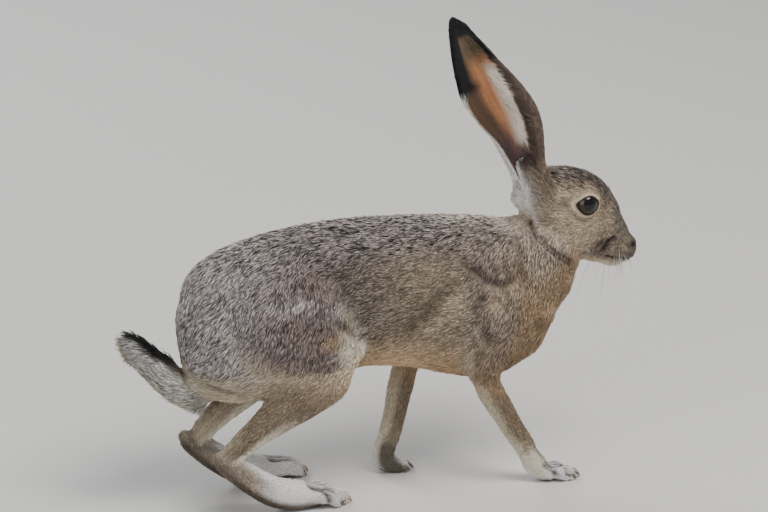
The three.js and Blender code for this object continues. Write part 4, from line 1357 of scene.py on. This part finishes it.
def ear_colours(share, column, inside):
    """Mixes of named colours by the place along and across the ear."""
    mix = lambda a, b, w: a + (b - a) * w[..., None]
    share, column = np.asarray(share), np.asarray(column)
    flat = np.broadcast_to(EAR_INSIDE["middle"], (*share.shape, 3))
    back_from = 0.3 * (share - 0.42)
    flat = mix(flat, EAR_INSIDE["rear"], smooth_step(back_from, back_from + 0.42, -column))
    # Painted shade: darker low in the ear's hollow, behind the fringe, where the cup is deepest.
    deep = (1 - smooth_step(0.16, 0.48, share)) * (1 - smooth_step(0.15, 0.4, column))
    flat = mix(flat, EAR_INSIDE["deep"], deep)
    olive = smooth_step(0.72, 0.86, share + 0.12 * smooth_step(0.4, 0.9, -column))
    flat = mix(flat, EAR_INSIDE["olive"], olive)
    start = 0.01 + 0.25 * (share - 0.4) + 0.4 * smooth_step(0.28, 0.1, share)
    cream = smooth_step(start, start + 0.2, column) * (1 - smooth_step(0.68, 0.78, share))
    flat = mix(flat, EAR_INSIDE["fringe"], cream)
    margin = smooth_step(0.88, 0.98, -column) * (1 - smooth_step(0.6, 0.66, share))
    flat = mix(flat, EAR_INSIDE["edge"], margin)
    rim = smooth_step(0.64, 0.72, share) * smooth_step(0.6, 0.75, column)
    rim = np.maximum(rim, smooth_step(0.6, 0.68, share) * smooth_step(0.42, 0.6, -column))
    flat = mix(flat, COAT["ear_black"][:3], np.maximum(smooth_step(0.93, 0.97, share), rim))
    back = np.broadcast_to(COAT["ear_white"][:3], flat.shape)
    back = mix(back, COAT["ear_band"][:3], smooth_step(-0.1, 0.25, column))
    butt = (1 - smooth_step(0.02, 0.2, share)) * smooth_step(-0.2, 0.2, column)
    back = mix(back, COAT["ear_base"][:3], butt)
    start = np.interp(column, [-0.3, 0.3], [0.54, 0.74])
    back = mix(back, COAT["ear_black"][:3], smooth_step(start, start + 0.05, share))
    streak = 0.8 + 0.4 * lattice_noise(np.stack([column * 16 + 40, share * 9, 0 * share], -1), 1.0, 21)
    return mix(back, flat, np.asarray(inside)) * streak[..., None]


def ear_tufts(name, side, count, inside, columns, shares, length, width, rise, tilt):
    """Blades on one face of the ear. They lie up the ear, swung towards a margin by the tilt."""
    t, column = np.sort(rng.uniform(*shares, count)), rng.uniform(*columns, count)
    share = rows_at(EAR_ROWS, t)[:, 0]
    face = 1 if inside else -1
    grid = ear_points(np.linspace(0, 1, 240), np.linspace(-1, 1, 241), side, face)
    up, over = np.gradient(grid, axis=0), np.gradient(grid, axis=1)
    facing = unit(np.cross(up, over)) * (side * face)
    i, j = t * 239, (column + 1) * 120
    i0, j0 = np.minimum(i.astype(int), 238), np.minimum(j.astype(int), 239)
    fi, fj = (i - i0)[:, None], (j - j0)[:, None]
    pick = lambda g: ((g[i0, j0] * (1 - fi) + g[i0 + 1, j0] * fi) * (1 - fj)
                      + (g[i0, j0 + 1] * (1 - fi) + g[i0 + 1, j0 + 1] * fi) * fj)
    root, out = pick(grid), unit(pick(facing))
    flow = unit(pick(up)) + unit(pick(over)) * (tilt + rng.normal(0, 0.16, count))[:, None]
    tone = np.clip(rng.normal(0, 0.5, count), -0.9, 1)
    colour = ear_colours(share, column, np.full(count, float(inside)))
    colour = np.concatenate([colour, np.full((count, 1), EAR_SPREAD)], 1)
    long = length * rng.uniform(0.75, 1.2, count) * np.interp(share, [0, 0.8, 1], [1.1, 1, 0.6])
    lift = rise * rng.uniform(0.7, 1.3, count)
    wide = width * rng.uniform(0.8, 1.2, count)
    sunk = root - out * EAR_ROOT_SUNK
    cloud = tuft_cloud(sunk, out, flow, long, wide, lift, lift * 0.6, "short")
    uv = np.stack([0.02 + 0.96 * share, 0.02 + 0.96 * (column + 1) / 2], 1)
    tones = banded(colour, tone, rng.random(count), "short")
    make_tufts(name, cloud, tones, uv, "short", guard_hair)
    return count


for name, side in SIDES.items():
    surface, (share, column, inside) = leaf(side)
    ear = make_piece(f"ear_leaf_{name}", surface)
    paint(ear, "coat", ear_colours(share, column, inside))
    ear.data.materials.append(ear_skin)
    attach(ear, "root")
    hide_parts(f"ear_{name}")
    made = sum(ear_tufts(f"ear_{where}_{name}", side, *hair) for where, *hair in EAR_HAIR)
    print(ear.name, len(surface[0]), "points,", made, "tufts")

# %% [markdown]
# ## Eyes
# The eye is large, dark brown and set at the side of the head. The ball is a true sphere
# whose pole looks outwards, so rings of colour can be painted by the angle from that pole.
# A clear coat in the material gives the wet highlight, and a thin dark rim edges the lids.

# %% Eyeballs and lid rims
GAZE = np.array([0.16, 1.0, 0.1])
PUPIL, IRIS = 0.6, 0.95
PUPIL_TONE, IRIS_TONE, BALL_TONE = linear((4, 4, 5)), linear((54, 30, 18)), linear((22, 14, 11))
LID_TONE = linear((46, 36, 32))
BALL_RINGS, BALL_SIDES, LID_STEPS, LID_SIDES = 64, 72, 96, 10


def eyeball(side):
    """A sphere about the eye's centre, ringed round the gaze, with the angle from the gaze."""
    gaze = unit(GAZE * [1, side, 1])
    first = unit(np.cross(gaze, [0, 0, 1.0]))
    second = np.cross(gaze, first)
    v = np.linspace(0, math.pi, BALL_RINGS)[:, None]
    u = np.linspace(0, 2 * math.pi, BALL_SIDES, endpoint=False)[None]
    grid = (np.cos(v)[..., None] * gaze + (np.sin(v) * np.cos(u))[..., None] * first
            + (np.sin(v) * np.sin(u))[..., None] * second)
    grid = grid * EYE_RADIUS + eye_centre(side)
    angle = np.broadcast_to(v, (BALL_RINGS, BALL_SIDES))
    return closed_grid(grid), np.concatenate([[0], angle[1:-1].ravel(), [math.pi]])


def eye_material():
    """A dark wet eye: painted rings under a clear coat, with faint rays in the iris."""
    material, nodes, link, shader = new_material("wet_eye")
    colour = nodes.new("ShaderNodeAttribute")
    colour.attribute_name = "coat"
    place, rays = nodes.new("ShaderNodeTexCoord"), nodes.new("ShaderNodeTexNoise")
    rays.inputs["Scale"].default_value = 700.0
    link(place.outputs["Object"], rays.inputs["Vector"])
    vary = arithmetic(nodes, "ShaderNodeVectorMath", "SCALE")
    gain = arithmetic(nodes, "ShaderNodeMath", "MULTIPLY_ADD")
    gain.inputs[1].default_value, gain.inputs[2].default_value = 0.8, 0.6
    link(rays.outputs["Fac"], gain.inputs[0])
    link(colour.outputs["Color"], vary.inputs[0])
    link(gain.outputs[0], vary.inputs["Scale"])
    link(vary.outputs[0], shader.inputs["Base Color"])
    set_values(shader, {"Roughness": 0.05, "Specular IOR Level": 0.35,
                        "Coat Weight": 0.15, "Coat Roughness": 0.02})
    return material


def rim_path(side, turns):
    """The almond's edge drawn on a sphere just over the eyeball."""
    u = np.cos(turns) / CORNER_DRAWN
    v = np.sin(turns) / (1 + CORNER_PINCH * u * u)
    u, v = u * OPENING[0], v * OPENING[1]
    t = EYE_T + EYE_SHIFT + u * math.cos(EYE_SLANT) - v * math.sin(EYE_SLANT)
    h = EYE_H + u * math.sin(EYE_SLANT) + v * math.cos(EYE_SLANT)
    flat = head_point(t, h, EYE_Y)
    centre = eye_centre(LEFT)
    planar = ((flat - centre) ** 2).sum(-1)
    flat[:, 1] = EYE_Y + np.sqrt(np.maximum((EYE_RADIUS + 0.5) ** 2 - planar, 1))
    return flat * [1, side, 1], centre * [1, side, 1]


def lid_rim(side, thick=0.85):
    """A round cord of skin carried along the almond's edge, closed on itself."""
    turns = np.linspace(0, 2 * math.pi, LID_STEPS, endpoint=False)
    path, centre = rim_path(side, turns)
    along = unit(np.roll(path, -1, 0) - np.roll(path, 1, 0))
    out = unit(path - centre)
    cross = np.cross(along, out)
    w = np.linspace(0, 2 * math.pi, LID_SIDES, endpoint=False)
    c, s = np.cos(w)[None, :, None], np.sin(w)[None, :, None]
    ring = path[:, None] + thick * (c * out[:, None] + s * cross[:, None])
    i, j = np.meshgrid(np.arange(LID_STEPS), np.arange(LID_SIDES), indexing="ij")
    at = lambda i, j: (i % LID_STEPS) * LID_SIDES + j % LID_SIDES
    quads = np.stack([at(i, j), at(i + 1, j), at(i + 1, j + 1), at(i, j + 1)], -1).reshape(-1, 4)
    return outwards(ring.reshape(-1, 3), quads, np.zeros((0, 3), int))


wet_eye = eye_material()
for name, side in SIDES.items():
    surface, angle = eyeball(side)
    ball = make_piece(f"eyeball_{name}", surface)
    in_iris = smooth_step(PUPIL - 0.05, PUPIL + 0.06, angle)[:, None]
    past_iris = smooth_step(IRIS - 0.12, IRIS + 0.04, angle)[:, None]
    tone = PUPIL_TONE + (IRIS_TONE - PUPIL_TONE) * in_iris
    tone = tone + (BALL_TONE - tone) * past_iris
    paint(ball, "coat", tone)
    ball.data.materials.append(wet_eye)
    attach(ball, "root")
    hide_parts(f"eye_{name}")
    rim = make_piece(f"lid_rim_{name}", lid_rim(side))
    paint(rim, "coat", np.broadcast_to(LID_TONE, (len(rim.data.vertices), 3)))
    rim.data.materials.append(ear_skin)
    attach(rim, "root")
    print(ball.name, "and", rim.name)

# %% [markdown]
# ## Claws
# Each toe ends in a curved dark claw, half hidden in the hair of the foot. It is a small
# cone carried along a curve.

# %% Claws on every toe
CLAW_LENGTH = 7.5


def claw_path(root, toe):
    """From inside the toe's end, forwards and down, narrowing to a point near the floor."""
    x, y, z = toe_path(root, toe)[3][:3]
    return [[x - 1, y, z + 0.4, 1.9, 2, 2],
            [x + CLAW_LENGTH * 0.4, y, z, 1.6, 1.6, 1.7],
            [x + CLAW_LENGTH * 0.65, y, z * 0.62, 1.1, 1, 1.1],
            [x + CLAW_LENGTH * 0.8, y, z * 0.3, 0.5, 0.5, 0.5]]


def horn_material():
    """Dark horn: two browns mixed by noise, under a dull gloss."""
    material, nodes, link, shader = new_material("horn")
    place, grain = nodes.new("ShaderNodeTexCoord"), nodes.new("ShaderNodeTexNoise")
    ramp = nodes.new("ShaderNodeValToRGB")
    grain.inputs["Scale"].default_value = 450.0
    link(place.outputs["Object"], grain.inputs["Vector"])
    link(grain.outputs["Fac"], ramp.inputs["Fac"])
    ramp.color_ramp.elements[0].color = (0.05, 0.04, 0.034, 1)
    ramp.color_ramp.elements[1].color = (0.2, 0.155, 0.12, 1)
    link(ramp.outputs["Color"], shader.inputs["Base Color"])
    shader.inputs["Roughness"].default_value = 0.38
    return material


horn = horn_material()
for side_name, side in SIDES.items():
    for end, (foot, toes, root) in TOED_FEET.items():
        for k, toe in enumerate(toes):
            rows = placed(claw_path(root, toe), **PLACES[foot][side])
            surface = loft(rows, (1, 0.6), 2, side=side, around=14, steps=16, domes=4)
            piece = make_piece(f"claw_{end}_{side_name}_{k + 1}", surface)
            piece.data.materials.append(horn)
            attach(piece, "root")
            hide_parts(f"{end}_claw_{side_name}_{k + 1}")
print("claws:", 2 * (len(HIND_TOES) + len(FORE_TOES)))

# %% [markdown]
# ## Whiskers
# White whiskers grow in rows from the pad beside the nose. They leave it outwards and
# droop. Each is a thin four-sided rod along a parabola that narrows to a point.

# %% Whiskers on both pads
WHISKERS, WHISKER_RINGS, WHISKER_SIDES = 18, 11, 4
WHISKER_LENGTHS, WHISKER_THICK = (46, 96), 0.19
WHISKER_ROOT, WHISKER_TIP = linear((74, 64, 54)), linear((232, 228, 222))


def whiskers(side, count, rng):
    """Rods whose middle line is root + out u L + droop u squared, thinning as 1 - u."""
    column, row = rng.uniform(0, 1, count), rng.uniform(0, 1, count)
    t, h = 72 + 13 * column, -4 + 9 * row
    root = head_point(t, h, np.interp(t, [72, 85], [15.5, 13.5]))
    forward = np.interp(column, [0, 1], [-0.24, 0.08])
    aim = unit(np.stack([forward, 0.42 + 0 * row, -0.75 + 0.35 * row], 1) + rng.normal(0, 0.09, (count, 3)))
    length = rng.uniform(*WHISKER_LENGTHS, count)
    u = np.linspace(0, 1, WHISKER_RINGS)[None, :, None]
    droop = np.stack([4 + 0 * row, -6 + 0 * row, -14 + 6 * row], 1)[:, None] * (length / 60)[:, None, None]
    line = root[:, None] + aim[:, None] * u * length[:, None, None] + droop * u ** 2
    along = unit(np.gradient(line, axis=1))
    first = unit(np.cross(along, [0, 0, 1.0]))
    second = np.cross(along, first)
    w = np.arange(WHISKER_SIDES) * math.pi / 2
    c, s = np.cos(w)[:, None], np.sin(w)[:, None]
    thick = WHISKER_THICK * (1.08 - u)
    rods = line[:, :, None] + thick[:, :, None] * (c * first[:, :, None] + s * second[:, :, None])
    return join([closed_grid(capped(rings) * [1, side, 1]) for rings in rods])


whisker_hair = furred("whisker_hair", "coat", 0.2, 0.4, 0.1, 0.02)
for name, side in SIDES.items():
    piece = make_piece(f"whiskers_{name}", whiskers(side, WHISKERS, rng))
    reach = [0, *np.repeat(np.linspace(0, 1, WHISKER_RINGS), WHISKER_SIDES), 1]
    white = smooth_step(0.03, 0.3, np.tile(reach, WHISKERS)[:, None])
    paint(piece, "coat", WHISKER_ROOT + (WHISKER_TIP - WHISKER_ROOT) * white)
    piece.data.materials.append(whisker_hair)
    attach(piece, "root")
    print(piece.name, len(piece.data.vertices), "points")

# %% [markdown]
# ## Floor, light and camera
# A plain pale floor and soft lamps show the coat without drama. The camera looks from the
# animal's right, a little from behind its shoulder and above, through a long lens.

# %% Stage
FLOOR_HALF = 9000.0
floor_points = np.array([[-1, -1, 0], [1, -1, 0], [1, 1, 0], [-1, 1, 0]]) * FLOOR_HALF
one_face, no_tris = np.array([[0, 1, 2, 3]]), np.zeros((0, 3), int)
floor = make_piece("floor", (floor_points, one_face, no_tris), smooth=False)
ground, _, _, shader = new_material("pale_floor")
set_values(shader, {"Base Color": (0.62, 0.61, 0.59, 1), "Roughness": 0.9})
floor.data.materials.append(ground)


def lamp(name, place, size, power, colour=(1, 1, 1)):
    """A square soft lamp that faces the middle of the animal."""
    data = bpy.data.lights.new(name, "AREA")
    data.size, data.energy, data.color = size, power, colour
    made = bpy.data.objects.new(name, data)
    made.location = place
    made.rotation_euler = (Vector((0, 0, 0.2)) - Vector(place)).to_track_quat("-Z", "Y").to_euler()
    bpy.context.scene.collection.objects.link(made)


lamp("key", (0.7, -1.1, 2.3), 1.3, 62, (1.0, 0.97, 0.93))
lamp("fill", (-1.9, -1.6, 1.0), 1.8, 26, (0.93, 0.96, 1.0))
lamp("back", (-0.6, 1.9, 1.6), 1.2, 26)
world = bpy.data.worlds.new("studio")
bpy.context.scene.world = world
world.use_nodes = True
set_values(world.node_tree.nodes["Background"], {"Color": (0.78, 0.80, 0.84, 1), "Strength": 0.55})

AZIMUTH, ELEVATION, DISTANCE = math.radians(-18), math.radians(19), 5.0
target = Vector((0.0045, 0, 0.219))
level = math.cos(ELEVATION)
toward = Vector((math.sin(AZIMUTH) * level, -math.cos(AZIMUTH) * level, math.sin(ELEVATION)))
lens = bpy.data.cameras.new("camera")
lens.lens, lens.sensor_width, lens.clip_end = 262.5, 36.0, 50.0
camera = bpy.data.objects.new("camera", lens)
camera.location = target + toward * DISTANCE
camera.rotation_euler = (-toward).to_track_quat("-Z", "Y").to_euler()
bpy.context.scene.collection.objects.link(camera)
bpy.context.scene.camera = camera
print("camera at", [round(v, 3) for v in camera.location])
